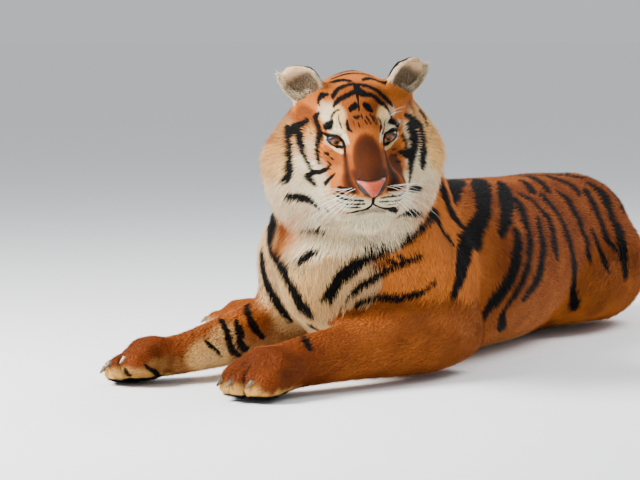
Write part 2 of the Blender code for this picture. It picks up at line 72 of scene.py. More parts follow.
# The head's frame: how the head is turned, and how far behind its origin the eyes' middles are.
HEAD_TURN, HEAD_DIP, HEAD_TILT = math.radians(40), math.radians(24), math.radians(-4)
EYE_PLACE = np.array((5.7, 0.9, 0.0))  # cm, the left eye's middle
EYE_RADIUS = 1.9  # cm
FACE_MIDDLE = np.array((0, 6, -5))  # cm in the head's frame
NOSE_TIP = np.array((0, -13, -4.6))
EAR_BASE, EAR_MIDDLE = (9.4, 9.0, 6.0), 3.6  # cm
EAR_TURN = (math.radians(38), math.radians(-8), math.radians(22))

# For each kind of CAD piece: depth of the coat (cm), smoothing steps, length of the hair (cm), how
# far it lifts (degrees), and how many times the tufts cover the skin.
COATS = {
    "chest": (0.7, 26, 2.3, 13, 1.5),
    "loins": (0.7, 18, 2.5, 13, 1.2),
    "rump": (0.7, 16, 2.5, 13, 1.2),
    "neck": (1.2, 34, 3.6, 15, 2.4),
    "head": (0.3, 4, 0.7, 12, 2.4),
    "muzzle": (0.2, 3, 0.42, 12, 1.6),
    "tail": (0.7, 5, 2.2, 18, 1.4),
    "upper_arm": (0.7, 14, 2.2, 14, 2.0),
    "forearm": (0.5, 8, 1.6, 14, 2.0),
    "paw": (0.35, 3, 1.0, 18, 2.0),
    "thigh": (0.7, 16, 2.4, 13, 1.2),
    "shank": (0.6, 8, 1.8, 14, 0.8),
    "foot": (0.4, 3, 1.1, 14, 0.6),
    "ear": (0.12, 2, 0.4, 10, 0.8),
}

# The same five for the long hair of the ruff, the cheeks and the chin.
RUFF_COAT = np.array((1.5, 6, 4.0, 14, 5.5))
CHEEK_COAT = np.array((0.5, 5, 1.5, 13, 3))
CHIN_COAT = np.array((0.5, 4, 3.2, 20, 4))
SKIN_VOXEL = 11 * MM

# The order of the pieces along the trunk, each leg and the tail, for the lie of the hair.
CHAINS = (
    ("chest", "fore_left_upper_arm", "fore_left_forearm", "fore_left_paw"),
    ("chest", "fore_right_upper_arm", "fore_right_forearm", "fore_right_paw"),
    ("rump", "hind_left_thigh", "hind_left_shank", "hind_left_foot"),
    ("rump", "hind_right_thigh", "hind_right_shank", "hind_right_foot"),
    ("rump", "tail_base", "tail_middle", "tail_tip"),
    ("head", "neck", "chest", "loins", "rump", "tail_base"),
)

# Which coat piece each kind belongs to.
COAT_PIECES = {
    "coat_head": ("head",),
    "coat_muzzle": ("muzzle",),
    "coat_ears": ("ear",),
    "coat_neck": ("neck",),
    "coat_chest": ("chest",),
    "coat_loins": ("loins",),
    "coat_rump": ("rump", "thigh"),
    "coat_forelegs": ("upper_arm", "forearm", "paw"),
    "coat_hind_legs": ("shank", "foot"),
    "coat_tail": ("tail",),
}

# Black strokes on the face: points of (degrees left, degrees up, half width), as face_map has them.
FACE_STROKES = (
    ((-34, 80, 2.6), (-30, 83.5, 2.4), (-25, 86.5, 2.2), (-19, 88.5, 2), (-7.5, 90, 1.6), (1.5, 88.5, 1.6),
     (12, 86.5, 1.8), (23, 82.5, 2), (32, 77.5, 2), (40, 72.5, 2.2), (45.5, 66.5, 1.8)),
    ((-5, 82, 2), (-17, 78.5, 2.3), (-25.5, 76.5, 2.3), (-31, 73.5, 2.2), (-35, 71, 1.5)),
    ((7, 79, 2.5), (14.5, 78, 1.8), (21.5, 75, 2), (27, 71.5, 2), (33.5, 68.5, 1.8), (37, 63.5, 1.4),
     (38, 58, 1.2), (41, 53, 1)),
    ((-4, 86, 2.5), (0, 82, 4), (7, 79, 2.5)),
    ((-3.5, 86, 2.5), (-3.3, 79.5, 1.8), (-2.8, 75, 1), (-2.8, 70.5, 0.9), (-3.2, 66, 0.6)),
    ((-14, 68, 2.2), (-7, 70.5, 2.8)),
    ((4, 71, 1.5), (9, 68, 3), (14, 65, 1.8)),
    ((-11, 60, 1), (-7, 58, 2), (-4, 60, 1.2)),
    ((5, 58, 0.8), (9, 50, 0.6)),
    ((10, 61, 0.8), (16.5, 50, 0.8)),
    ((2, 54.5, 0.6), (4.5, 50, 0.4)),
    ((-12, 54, 0.5), (-10.5, 49, 0.4)),
    ((-6, 53, 0.5), (-5, 48, 0.4)),
    ((14, 59, 0.5), (20, 52, 0.5)),
    ((-1, 62, 0.4), (-0.5, 57, 0.5)),
    ((31, 52, 0.5), (28, 44, 0.6), (24, 39, 0.6)),
    ((-19, 56, 1.2), (-19.5, 51, 1.8), (-18.5, 47, 1.8), (-14.5, 43.5, 0.8)),
    ((20.5, 57, 0.8), (24, 51.5, 1.3), (23, 46, 1.2), (20, 41, 0.8)),
    ((-27, 67.5, 0.7), (-32, 66, 1.1), (-36.5, 62.5, 1.2), (-38.5, 57, 1.2)),
    ((-38, 54, 1.8), (-43, 51, 3), (-49, 47.5, 2.8), (-42, 46.5, 2)),
    ((-29, 62, 0.4), (-29.5, 56, 0.5), (-27.5, 48, 0.4)),
    ((38, 51, 1.5), (46, 48, 3.2), (53, 42.5, 2)),
    ((-41, 82, 1.5), (-50, 79, 1.8), (-55, 74, 1.6), (-54, 70, 0.8)),
    # Crown and nape.
    ((-43, 97, 2), (-30, 99, 3), (-16, 97.5, 2.6), (-8, 94, 1.6)),
    ((9, 95, 1.8), (22, 98.5, 2.8), (33, 95, 2), (41, 88, 1.2)),
    ((-36, 108, 2), (-18, 110, 2.6), (2, 108.5, 2), (20, 109, 2.5), (33, 104, 1.6)),
    ((-44, 124, 2), (-22, 126, 3), (0, 124, 2.4), (22, 126, 3), (44, 121, 2)),
    # Right cheek.
    ((-55, 61.5, 1.2), (-59.5, 54.5, 2.8), (-57.5, 47, 2.5), (-57, 40.5, 2.8), (-58, 30.5, 2.6),
     (-58.5, 20, 2.2), (-55.5, 11, 2.6), (-52.5, 3, 2)),
    ((-79, 36, 1.6), (-77.5, 30.5, 2.8), (-75, 22, 2.8), (-71.5, 13, 2.2), (-67.5, 6, 1.2), (-63.5, 1, 1.2),
     (-60, -4, 1.6), (-55.5, -8, 2.2), (-49.5, -6, 2.2), (-45, -3, 2), (-40, 1.5, 1.8), (-39.5, 5, 1)),
    ((-55, -10, 2), (-60, -14, 3.2), (-57, -17, 4.2), (-51, -20, 2.6)),
    ((-31, -1, 0.8), (-35, -6, 1.3), (-39, -12, 1.6)),
    ((-66, -45, 4), (-60, -42, 5), (-53, -40.5, 4), (-46, -42, 2), (-40, -44, 1)),
    ((-34, -36, 1.5), (-32, -36, 1.5)),
    ((-49, 15.5, 1.4), (-46, 15, 1.8)),
    ((-41, 11, 0.9), (-38, 10, 1)),
    ((-44, 7, 0.6), (-41, 5, 0.8)),
    ((37, 17, 0.5), (43, 15.5, 0.6)),
    ((34, 11, 0.5), (41, 9, 0.6)),
    ((36, 4, 0.5), (42, 1.5, 0.6)),
    ((-69, 49.5, 1.2), (-77, 40.5, 1.6), (-82.5, 35.5, 1.8), (-87.5, 24, 2.5)),
    ((-91, 30, 1.2), (-90, 24, 2.2), (-88, 16, 2.6), (-84.5, 6, 2.6), (-80.5, -4, 2.6), (-77.5, -14, 2.4),
     (-76.5, -25, 1.6), (-78, -31, 0.8)),
    ((-48, -72, 0.4), (-40, -72, 0.9), (-30, -74, 0.5)),
    # Left cheek.
    ((57, 29, 1.8), (58, 20, 1.8), (56.5, 11, 2), (54, 4, 3.5)),
    ((44, 12, 1), (50, 9, 3.2), (54, 4, 3.5)),
    ((66, 36.5, 2.5), (68, 28.5, 4), (68.5, 20, 4.5), (67, 13.5, 4.5), (63, 6, 4.5), (58, -1, 4.5),
     (53, -8, 4), (49, -15, 3.5), (46, -22, 2)),
    ((64, 50, 1.5), (71, 42.5, 2), (75, 35, 2.8), (79.5, 26, 2.2), (79.5, 17, 2), (77.5, 8, 2.2),
     (74, 0.5, 3), (71.5, -4, 3.2), (69.5, -9, 3.5), (68.5, -15, 3), (68.5, -20, 1.5)),
    ((90, 40, 0.3), (93, 30, 0.8), (93, 20, 0.3)),
    ((46, -31, 2), (54, -37, 4), (61, -43, 2.5)),
    ((26, -48, 1.6), (32, -57, 2.4), (38, -62, 2.2)),
    ((42, -64, 3), (50, -66, 3), (56, -68, 1.5)),
    # Lids and tear lines.
    ((-57, 41, 1.2), (-50, 39, 1.6), (-43, 38, 2.2), (-36, 37.6, 2.8), (-30, 35.2, 2.6), (-26, 31, 2.6),
     (-24.2, 26, 2.3), (-23.6, 21, 1.6), (-23.4, 16, 0.8)),
    ((-46, 35, 2), (-41.5, 28.8, 1.9), (-35, 26, 1.9), (-28.5, 26, 2.2)),
    ((54, 38, 1.2), (46, 39.4, 1.8), (38, 39, 2.8), (31, 36.6, 2.7), (26, 31.5, 2.6), (24, 26, 2.3),
     (23, 20, 1.6), (22.8, 15, 0.8)),
    ((46, 35, 1.9), (41.5, 28.8, 1.9), (35, 26, 1.9), (28.5, 26, 2.2)),
    # Mouth and the whiskers' rows.
    ((1.2, -5.5, 0.7), (0.6, -13, 0.7)),
    ((0.6, -13.5, 0.8), (-2.5, -17, 1), (-7, -19.6, 1.1), (-12, -21.8, 0.8), (-16, -23.5, 0.4)),
    ((0.6, -13.5, 0.8), (4, -16, 1), (8, -18.5, 1.2), (13, -21, 2), (17, -24, 2.6), (21, -29, 1.4)),
    ((-23, -3.5, 0.5), (-18, -2.8, 0.8), (-12, -3.8, 0.6)),
    ((-26, -9, 0.4), (-18, -8.6, 0.6), (-6, -9.3, 0.5)),
    ((-23, -12.5, 0.3), (-14, -12.2, 0.4), (-5, -12, 0.3)),
    ((-19, -15.5, 0.25), (-8, -15, 0.3)),
    ((-24, -6, 0.3), (-15, -6, 0.3)),
    ((11, -4, 0.4), (17, -4.5, 0.7), (23, -5.5, 0.4)),
    ((6, -8, 0.3), (14, -8.6, 0.5), (24, -10, 0.4)),
    ((5, -11.3, 0.25), (13, -12, 0.4), (21, -13.5, 0.3)),
    ((8, -14.5, 0.2), (18, -16, 0.3)),
)

# Soft pale patches on the face: degrees left and up, half width and half height, and how pale.
FACE_PALE = (
    (-37, 60, 17, 14, 1), (-34, 47, 13, 8, 0.9), (-48, 64, 9, 11, 0.6), (-24, 36, 5, 7, 0.9),
    (31, 57, 11, 13, 1), (42, 44, 14, 7, 1), (43, 62, 6, 8, 0.6), (22, 36, 4, 6, 0.9),
    (-37, 29, 15, 3.6, 0.9), (37, 28.5, 13, 3.6, 0.9), (-46, 34, 6, 4, 0.9), (46, 33, 6, 4, 0.9),
    (-66, 18, 7, 28, 0.55), (-77, 12, 7, 26, 0.5), (72, 24, 7, 32, 0.6), (62, 24, 4, 22, 0.7),
    (84, 24, 7, 32, 0.45),
    (-66, -18, 26, 28, 0.9), (70, -18, 24, 28, 0.95), (-44, -18, 22, 12, 0.8), (40, -20, 20, 13, 0.8),
    (-13, -14.5, 17, 8.5, 1), (12, -14.5, 16, 8.5, 1), (0, -34, 24, 14, 1), (-42, -34, 28, 17, 0.95),
    (42, -36, 28, 17, 0.95), (0, -62, 62, 24, 0.9), (-50, -6, 10, 8, 0.7), (60, -4, 12, 12, 0.85),
    (-92, -26, 18, 34, 0.55), (-94, 20, 17, 24, 0.3), (93, -8, 17, 50, 0.6), (-78, -52, 30, 26, 0.8),
    (78, -50, 28, 26, 0.7),
)

# White lines under the eyes and beside the bridge of the nose.
FACE_WHITE = (
    ((-51, 33, 1.2), (-44.5, 26.6, 1.9), (-36, 22, 2.4), (-28.5, 20, 2.4)),
    ((51, 32.5, 1.2), (44.5, 26.6, 1.8), (36, 22, 2.2), (28, 20, 2)),
    ((-25, 42, 1.2), (-20.5, 36, 1.6), (-18, 30, 0.8)),
    ((24, 42, 1.2), (19.5, 36, 1.5), (17, 30, 0.8)),
)

# Patches of deeper colour, as the pale ones.  The two on the bridge of the nose are partly its deeper
# colour and partly painted shade, and the last one, beside the nose on the head's left, is painted shade.
FACE_DEEP = (
    (0, 18, 14, 22, 1.7), (0, 6, 16, 6, 1.7), (-18, 12, 7, 9, 0.7), (17, 12, 7, 12, 0.95),
    (24, 0, 6, 8, 0.6), (0, 68, 40, 26, 0.7), (0, -92, 60, 14, 0.9), (-70, -84, 20, 16, 0.9),
    (72, -82, 18, 16, 0.8), (-36, 14, 16, 10, 0.5), (38, 14, 14, 12, 0.6), (-103, 8, 14, 60, 0.8),
    (104, 6, 14, 60, 0.8), (-80, 38, 20, 16, 0.8), (84, 36, 20, 16, 0.8), (-72, 52, 16, 14, 0.9),
    (78, 50, 12, 12, 0.8), (-92, 0, 16, 44, 0.75), (92, 0, 16, 50, 0.8), (33, 2, 8, 12, 1.5),
)

# Dark brown down both sides of the bridge of the nose, partly the coat's colour and partly painted shade.
BRIDGE_BROWN_AND_SHADE = (
    ((-23, 17, 1), (-20, 8, 1), (-15.5, 0, 1), (-12, -3, 0.5)),
    ((23, 17, 1), (21, 8, 2), (18, 0, 2), (13, -3, 0.5)),
)

# Painted shade, grey, under the middle of the mouth where it opens.
MOUTH_SHADE = (((-9, -24, 0.5), (0.6, -19, 2), (10, -23, 1)),)

# Where the skin is pressed in or raised: the groove under the nose and both lips as strokes, and the
# whisker pads and brows as patches.
LIPS = (
    ((0.8, -6, 0.2), (0.6, -13.2, 0.3)),
    ((0.6, -13.5, 0.3), (-7, -21, 0.3), (-12, -24, 0.3), (-18, -28, 0.3)),
    ((0.6, -13.5, 0.3), (7, -20.5, 0.3), (13, -23, 0.3), (18, -27, 0.3)),
)
WHISKER_PADS = ((-10, -11, 10, 7, 1), (12, -11, 10, 7, 1))
BROWS = ((-33, 44, 11, 4, 1), (33, 44, 11, 4, 1))

# Black stripes on the left flank: centimetres from nose to tail, from the spine down, half width.
FLANK_STROKES = (
    ((-58, 2, 1.4), (-55, 10, 1.7), (-50, 18, 1.6), (-44, 24, 0.8)),
    ((-46, 1, 1.2), (-43, 9, 1.6), (-39, 16, 1.6), (-34, 21, 1)),
    # This stroke and the next, behind the shoulder, are partly black stripes and partly painted shade.
    ((-30, 26, 1.4), (-24, 21, 1.9), (-17, 16.5, 2.2), (-10, 12, 2.4), (-3, 8, 2.4), (4, 4.5, 2),
     (9, 0.5, 1.5)),
    ((-32, 15, 1), (-25, 11.5, 1.5), (-17, 7.5, 1.8), (-9, 4.5, 1.7), (-3, 1, 1.4)),
    ((-17, 24.5, 1), (-12, 21.8, 1.4), (-7, 18.8, 1.8), (-2, 15.5, 2.1), (3, 12.5, 2), (8, 9, 1.7),
     (13, 5.5, 1)),
    ((5, 15.5, 1.5), (2, 19, 1.4), (0, 22, 1.2), (-2.2, 26.5, 1.3), (-4.5, 30, 1.3), (-6.5, 33.5, 1.1),
     (-9.5, 37, 1.2), (-12.5, 40, 1), (-14.5, 43.5, 1), (-12, 46.5, 1), (-8.5, 48.6, 0.9)),
    ((-8, 25, 1.6), (-10, 28, 2), (-12.5, 31.5, 2.2), (-15, 34.5, 2.2), (-18, 37.5, 2.2), (-21.5, 40, 2.2),
     (-23, 42.5, 1.8), (-22.5, 45.5, 1)),
    ((8.5, 21.5, 0.6), (6, 25, 0.9), (4.5, 28.5, 1.6), (2.5, 31.5, 1.6), (0.8, 35, 1.6), (-2, 37.5, 1.4),
     (-5.5, 40.3, 1)),
    ((11, 12.5, 0.8), (14, 15.5, 1.1), (14, 18.5, 1.1), (15.2, 21.5, 1.8), (14.2, 25, 1.2), (12.3, 28.5, 1.8),
     (12.4, 32, 0.8)),
    ((28, 4, 0.8), (24, 9, 1.5), (19.5, 12, 0.8)),
    ((25, 13, 1), (23.5, 16, 1.8), (23.5, 19, 1.4), (23.2, 23, 1.1), (23.6, 27, 1.7), (24, 30.5, 1.4),
     (24.8, 33.5, 1.3), (26.5, 37, 1.9), (27, 40, 1.6), (28, 43, 1.2), (30.3, 46.8, 1.5)),
    ((31, 11.5, 0.9), (34.5, 7, 1.4), (37, 3.5, 1.5), (40, 0.5, 1)),
    ((36, 12.5, 1.2), (37, 15.5, 1.9), (35.8, 19, 1.3), (36, 22, 1.6), (35, 26, 0.9), (36.5, 29.5, 1.3),
     (36.3, 33, 1.2), (37, 35.5, 0.6)),
    ((49, 0.5, 1.1), (47.5, 4.5, 1.9), (49, 8, 2), (48.5, 11.5, 1.6), (46.5, 14, 0.6)),
    ((55, 12, 0.8), (52.5, 15, 1.6), (51, 18.5, 1.7), (49.8, 22, 1.5), (50, 25.5, 1.4), (49.5, 29.5, 1.3),
     (51, 33, 0.8)),
    ((42, 27, 0.7), (43.8, 31.5, 1), (44.3, 35.5, 1.1), (43.5, 38, 0.5)),
    ((60.5, 10, 1), (61, 15, 1.9), (59, 20, 1.6), (57.5, 24, 1.3), (56.5, 28.5, 1.6), (54.5, 33, 1.3),
     (52.5, 37, 1.4), (51, 40, 0.6)),
    ((59, 0.5, 1.6), (61.5, 4, 1.5), (64, 7, 0.7)),
    ((68, 2, 1.4), (69.5, 9, 1.7), (69, 16, 1.5), (67, 22, 0.7)),
)

# Black stripes on the left shoulder, as the flank's: partly real stripe and partly painted shade.
SHOULDER_STROKES = (
    ((-10, 14, 0.6), (-18, 17.5, 1.2), (-27, 21.5, 1.8), (-37, 25.5, 2.2), (-43, 29.5, 2), (-47, 33, 1.2),
     (-49.5, 36, 0.3)),
)

# Black stripes on the breast and the right foreleg: centimetres left and up, as breast_map has them.
BREAST_STROKES = (
    ((-20.5, 36, 1.6), (-20, 33, 2.2), (-19.3, 30.5, 2.4), (-18.7, 28, 2.1), (-17.6, 26, 1.7),
     (-16.8, 24, 1.2), (-15.6, 22.2, 1), (-14.2, 20.3, 1.1), (-13, 18, 1.1), (-12, 16.5, 1.2),
     (-10.5, 14.8, 0.6)),
    ((-23.5, 27, 0.5), (-23.3, 24, 0.7), (-22.9, 21.5, 0.8), (-22, 19, 0.9), (-21, 16.8, 1.1),
     (-19.8, 14.8, 1.1), (-18.5, 12.8, 0.9), (-17.6, 11.3, 0.8)),
    ((15, 36, 1.6), (12.5, 34.5, 2), (9.5, 32.5, 2.2), (6, 30.8, 2), (3.5, 29, 1.8), (1, 27.5, 1.4),
     (-1.5, 25.5, 1.6), (-3.6, 23.8, 1.5), (-5.5, 21.5, 1), (-7.2, 19.2, 0.7), (-8.3, 18, 0.3)),
    ((-3.6, 23.4, 0.8), (-4.6, 21.5, 0.8), (-5.8, 18.8, 0.5), (-6, 17.5, 0.2)),
    ((13, 27.5, 0.5), (9.5, 26.3, 0.7), (6, 25, 0.8), (3.5, 23.3, 0.9), (1, 21.8, 0.8), (-0.8, 20.3, 0.7),
     (-2, 19.3, 0.5), (-2.6, 18.4, 0.25), (-4, 16.2, 0.15)),
    ((2, 25, 0.25), (5.5, 26.6, 0.3), (9, 28, 0.25)),
    ((-1, 17.2, 0.4), (1.5, 18.2, 0.6), (4, 18.8, 0.7), (7, 18.2, 0.8), (10, 18.6, 0.8), (13, 19.3, 0.6),
     (16, 21.5, 0.4)),
    ((-11.3, 12.3, 0.5), (-10, 11.2, 0.6), (-9.2, 10, 0.4)),
    ((-29.5, 17.2, 0.3), (-28, 15.5, 0.5), (-26, 13, 0.7), (-24.5, 10, 0.8), (-22.8, 8, 0.5)),
    ((-29, 13, 0.2), (-28.2, 11.5, 0.5), (-27.5, 9.5, 0.8), (-27.3, 7.5, 0.9), (-26.7, 6.2, 1)),
    ((-32.5, 13, 0.3), (-31, 12, 0.6), (-29.8, 10, 0.6), (-29.2, 7.5, 0.7), (-28.8, 5.8, 0.9),
     (-27.8, 4.8, 0.7)),
    ((-34, 9, 0.3), (-33, 7.8, 0.45), (-32, 6.5, 0.45), (-31.2, 5, 0.3)),
    # The last two strokes are painted shade in the gaps between the right forepaw's toes.
    ((-50, 4.2, 0.3), (-49.6, 2.8, 0.5)),
    ((-45.6, 5, 0.4), (-44.4, 3.2, 0.5), (-43.8, 1.8, 0.4)),
)

# Pale patches on the breast and the right foreleg.
BREAST_PALE = (
    (-11, 27, 12, 12, 0.75), (-10, 18, 12, 9, 0.95), (-17, 16, 5, 9, 0.7), (-4, 33, 12, 6, 0.85),
    (-1, 22, 6, 6, 0.7), (-15, 33, 8, 8, 0.85), (-21, 24, 6, 10, 0.7), (-14, 24, 8, 12, 0.85),
    (-33.5, 5, 4.5, 4.5, 0.85), (-30.5, 8, 4, 4, 0.5), (-50, 1.6, 7, 3, 0.6),
)


def flesh_names():
    """The CAD nodes that one skin replaces."""
    return sorted(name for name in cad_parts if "claw" not in name and "eye" not in name)


def kind_of(name):
    """The kind of piece that a node is, such as paw or ear.  A forearm is told before an ear."""
    return next(kind for kind in COATS if kind in name)


FLESH = flesh_names()
KINDS = [kind_of(name) for name in FLESH]


def head_frame():
    """Head centimetres to metres in the world, from where the CAD's eyes are."""
    middles = [sum(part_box(eye), Vector()) / 2 for eye in ("eye_left", "eye_right")]
    turn = Matrix.Rotation(HEAD_TURN, 4, "Z") @ Matrix.Rotation(HEAD_DIP, 4, "X")
    turn = turn @ Matrix.Rotation(HEAD_TILT, 4, "Y") @ Matrix.Scale(CM, 4)
    back = turn.to_3x3() @ Vector((0, EYE_PLACE[1], 0))
    return Matrix.Translation(sum(middles, Vector()) / 2 - back) @ turn


def ear_frame(side):
    """Ear centimetres, the base at the origin and the tip up, to head centimetres."""
    splay, lean, opening = EAR_TURN
    turn = Matrix.Rotation(side * splay, 4, "Y") @ Matrix.Rotation(lean, 4, "X")
    turn = turn @ Matrix.Rotation(side * opening, 4, "Z")
    return Matrix.Translation((side * EAR_BASE[0], EAR_BASE[1], EAR_BASE[2])) @ turn


HEAD = head_frame()


def moved(points, matrix):
    """Points carried through a 4x4 matrix."""
    matrix = np.array(matrix)
    return points @ matrix[:3, :3].T + matrix[:3, 3]


def in_head(points):
    """Points of the world in the head's centimetres."""
    return moved(points, HEAD.inverted())


def from_head(points):
    """Points in the head's centimetres, in the world."""
    return moved(points, HEAD)


def head_way(vectors):
    """Directions in the head's frame, turned to the world."""
    return vectors @ np.array(HEAD.to_3x3().normalized()).T


def head_way_back(vectors):
    """Directions in the world, turned to the head's frame."""
    return vectors @ np.array(HEAD.to_3x3().normalized())


def middle(*nodes):
    """The middle of the CAD nodes' boxes taken together."""
    corners = [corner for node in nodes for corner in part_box(node)]
    return (np.min(corners, axis=0) + np.max(corners, axis=0)) / 2


TRUNK_MIDDLE = middle("loins")
TRUNK_RADIUS = 21  # cm
BREAST_TURN = math.radians(25)
BREAST_ACROSS = np.array((math.cos(BREAST_TURN), math.sin(BREAST_TURN)))
BREAST_FRONT = np.array((math.sin(BREAST_TURN), -math.cos(BREAST_TURN), 0))
TAIL_MIDDLE = middle("tail_base", "tail_middle", "tail_tip") - (0.04, 0.18, 0)
TAIL_RADIUS = 37  # cm
TAIL_BEHIND = 40  # cm along the tail to its point straight behind TAIL_MIDDLE
TAIL_TIP = 86  # cm along the tail to where it turns all black
TAIL_RING = 9.5  # cm from one black ring to the next
LEG_BAR = 7.5  # from one bar to the next, as the tail's


def smooth(low, high, values):
    """0 below low, 1 above high, and an S curve between them."""
    t = np.clip((values - low) / (high - low), 0, 1)
    return t * t * (3 - 2 * t)


def unit(vectors):
    """The vectors at length one."""
    return vectors / np.maximum(np.linalg.norm(vectors, axis=-1, keepdims=True), 1e-9)


def ripple(points, size, seed):
    """Even noise from -1 to 1: the mean of sine waves of about that length in eight directions."""
    rng = np.random.default_rng(seed)
    ways = unit(rng.normal(size=(8, 3))) * rng.uniform(0.7, 1.5, (8, 1)) * math.tau / size
    return np.sin(points @ ways.T + rng.uniform(0, math.tau, 8)).mean(axis=1) * 2


def face_map(points):
    """The whole head laid flat round the point straight ahead, in degrees to its left and up: each
    point lies off that middle by the angle between its direction from FACE_MIDDLE and straight
    ahead."""
    local = in_head(points) - FACE_MIDDLE
    across = np.hypot(local[:, 0], local[:, 2])
    off = np.degrees(np.arctan2(across, -local[:, 1]))
    return local[:, [0, 2]] * (off / np.maximum(across, 1e-6))[:, None]


def trunk_map(points):
    """Centimetres from nose to tail, and round the trunk from the spine down its left side."""
    off = points - TRUNK_MIDDLE
    return np.column_stack((points[:, 1] / CM, np.arctan2(off[:, 0], off[:, 2]) * TRUNK_RADIUS))


def breast_map(points):
    """Centimetres to the left and up, seen along a level line from the front and a little left."""
    return np.column_stack((points[:, :2] @ BREAST_ACROSS / CM, points[:, 2] / CM))


def drawn(stroke):
    """A stroke's points with one more between each two, on a Catmull-Rom curve."""
    line = np.array(stroke, float)
    ends = np.vstack((2 * line[0] - line[1], line, 2 * line[-1] - line[-2]))
    between = (9 * (ends[1:-2] + ends[2:-1]) - ends[:-3] - ends[3:]) / 16
    full = np.empty((2 * len(line) - 1, line.shape[1]))
    full[::2], full[1::2] = line, between
    return full


def inside(flat, strokes):
    """How far each flat point lies inside the nearest stroke: its half width there less the distance
    to its line, and at least -9."""
    best = np.full(len(flat), -9.0)
    for stroke in strokes:
        line = drawn(stroke)
        reach = line[:, 2].max() + 3
        low, high = line[:, :2].min(0) - reach, line[:, :2].max(0) + reach
        near = np.flatnonzero(((flat > low) & (flat < high)).all(1))
        here = flat[near]
        for a, b in zip(line, line[1:]):
            step = (b - a)[:2]
            share = np.clip((here - a[:2]) @ step / max(step @ step, 1e-9), 0, 1)
            gap = np.linalg.norm(here - a[:2] - share[:, None] * step, axis=1)
            best[near] = np.maximum(best[near], a[2] + share * (b[2] - a[2]) - gap)
    return best


def patched(flat, patches):
    """Soft ellipses: each is full inside three quarters of its radius and gone at a quarter more, and
    the strongest counts."""
    best = np.zeros(len(flat))
    for across, up, wide, high, strength in patches:
        off = np.hypot((flat[:, 0] - across) / wide, (flat[:, 1] - up) / high)
        best = np.maximum(best, strength * smooth(1.25, 0.7, off))
    return best


def of_kind(owners, *kinds):
    """Which points belong to CAD pieces of these kinds."""
    return np.isin(owners, [number for number, kind in enumerate(KINDS) if kind in kinds])


def of_side(owners, side):
    """Which points belong to CAD pieces with this in their names, such as fore_left."""
    return np.isin(owners, [number for number, name in enumerate(FLESH) if side in name])


def toes(points, owners):
    """How near the points are to a crease between two toes, and to the toes' tips, from 0 to 1: a
    crease lies midway between two claws and runs back from them towards the paw's middle."""
    crease, tips = np.zeros(len(points)), np.zeros(len(points))
    for foot in (name for name in FLESH if kind_of(name) in ("paw", "foot")):
        leg = foot.rsplit("_", 1)[0]
        claws = np.array([middle(f"{leg}_claw_{number}") for number in range(1, 5)])
        here = owners == FLESH.index(foot)
        back = unit(middle(foot) - claws.mean(axis=0))
        behind = (points - claws.mean(axis=0)) @ back / CM
        tips = np.maximum(tips, here * smooth(2.2, -0.4, behind) * smooth(0.05, 0.025, points[:, 2]))
        order = np.argsort(claws @ np.cross(back, (0, 0, 1)))
        for one, other in zip(claws[order], claws[order][1:]):
            off = (points - (one + other) / 2) / CM
            beside = np.abs(off @ unit(other - one))
            run = smooth(6.5, 3.5, off @ back) * smooth(-3.5, -2, off @ back)
            crease = np.maximum(crease, here * run * smooth(0.75, 0.1, beside))
    return crease, tips


class Coat:
    """Points of the skin or of the tufts, with what their markings need: their places, the ways they
    face, their CAD pieces, and how much of each is face, breast or flank.  The markings so far are
    how black, how pale and how deep in colour each point is."""

    def __init__(self, points, facing, owners):
        self.points, self.facing, self.owners = points, facing, owners
        self.local = in_head(points)
        self.fuzz = ripple(points, 0.012, 5) * 0.12 + ripple(points, 0.05, 6) * 0.12
        self.face = np.maximum(self.of("head", "muzzle", "ear"),
                               self.of("neck") * smooth(16, 9, self.local[:, 1]))
        turned = facing @ BREAST_FRONT + 0.35 * smooth(0.2, -0.5, facing[:, 0])
        self.front = smooth(0.05, 0.35, turned) * smooth(-0.25, -0.29, points[:, 1])
        body = self.of("neck", "chest", "upper_arm", "loins", "rump", "thigh")
        self.body = body * (1 - self.face)
        self.flank = self.body * smooth(0.85, 0.6, -facing[:, 1])
        self.black = self.pale = self.deep = np.zeros(len(points))

    def of(self, *kinds):
        """Which points belong to these kinds of CAD piece."""
        return of_kind(self.owners, *kinds)

    def on(self, side):
        """Which points belong to CAD pieces of this side or leg."""
        return of_side(self.owners, side)

    def mark(self, black=0, pale=0, deep=0):
        """Raises the markings to at least these."""
        self.black = np.maximum(self.black, black)
        self.pale = np.maximum(self.pale, pale)
        self.deep = np.maximum(self.deep, deep)


def mark_face(coat):
    """The face's strokes, wider towards the sides of the head, its pale and deep patches, some of
    them painted shade, and painted grey shade under the mouth."""
    flat = face_map(coat.points)
    cheeks = 1.8 * smooth(55, 85, np.abs(flat[:, 0]))
    lines = smooth(-0.45, 0.5, inside(flat, FACE_STROKES) + 0.35 + cheeks + coat.fuzz * 2)
    # Painted shade of the mouth's opening, half as dark as the stripes.
    shade = 0.5 * smooth(-4, 1, inside(flat, MOUTH_SHADE))
    pale = np.maximum(patched(flat, FACE_PALE), smooth(-0.4, 0.3, inside(flat, FACE_WHITE)))
    deep = np.maximum(patched(flat, FACE_DEEP), 2 * smooth(-6.5, 2, inside(flat, BRIDGE_BROWN_AND_SHADE)))
    coat.mark(np.maximum(lines, shade) * coat.face, pale * coat.face, deep * coat.face)


def mark_breast(coat):
    """The breast's strokes and patches, which run on over the right foreleg and the left forearm."""
    trunk = coat.of("neck", "chest", "upper_arm")
    breast = (trunk * coat.front * (1 - coat.face)
              + coat.of("forearm", "paw") * coat.on("fore_right")
              + coat.of("forearm") * coat.on("fore_left") * coat.front)
    flat = breast_map(coat.points)
    lines = smooth(-0.2, 0.2, inside(flat, BREAST_STROKES) + 0.1 * trunk + coat.fuzz)
    coat.mark(lines * breast, patched(flat, BREAST_PALE) * breast * (1 - coat.on("fore_left")))
    coat.mark(deep=0.65 * coat.pale * breast)


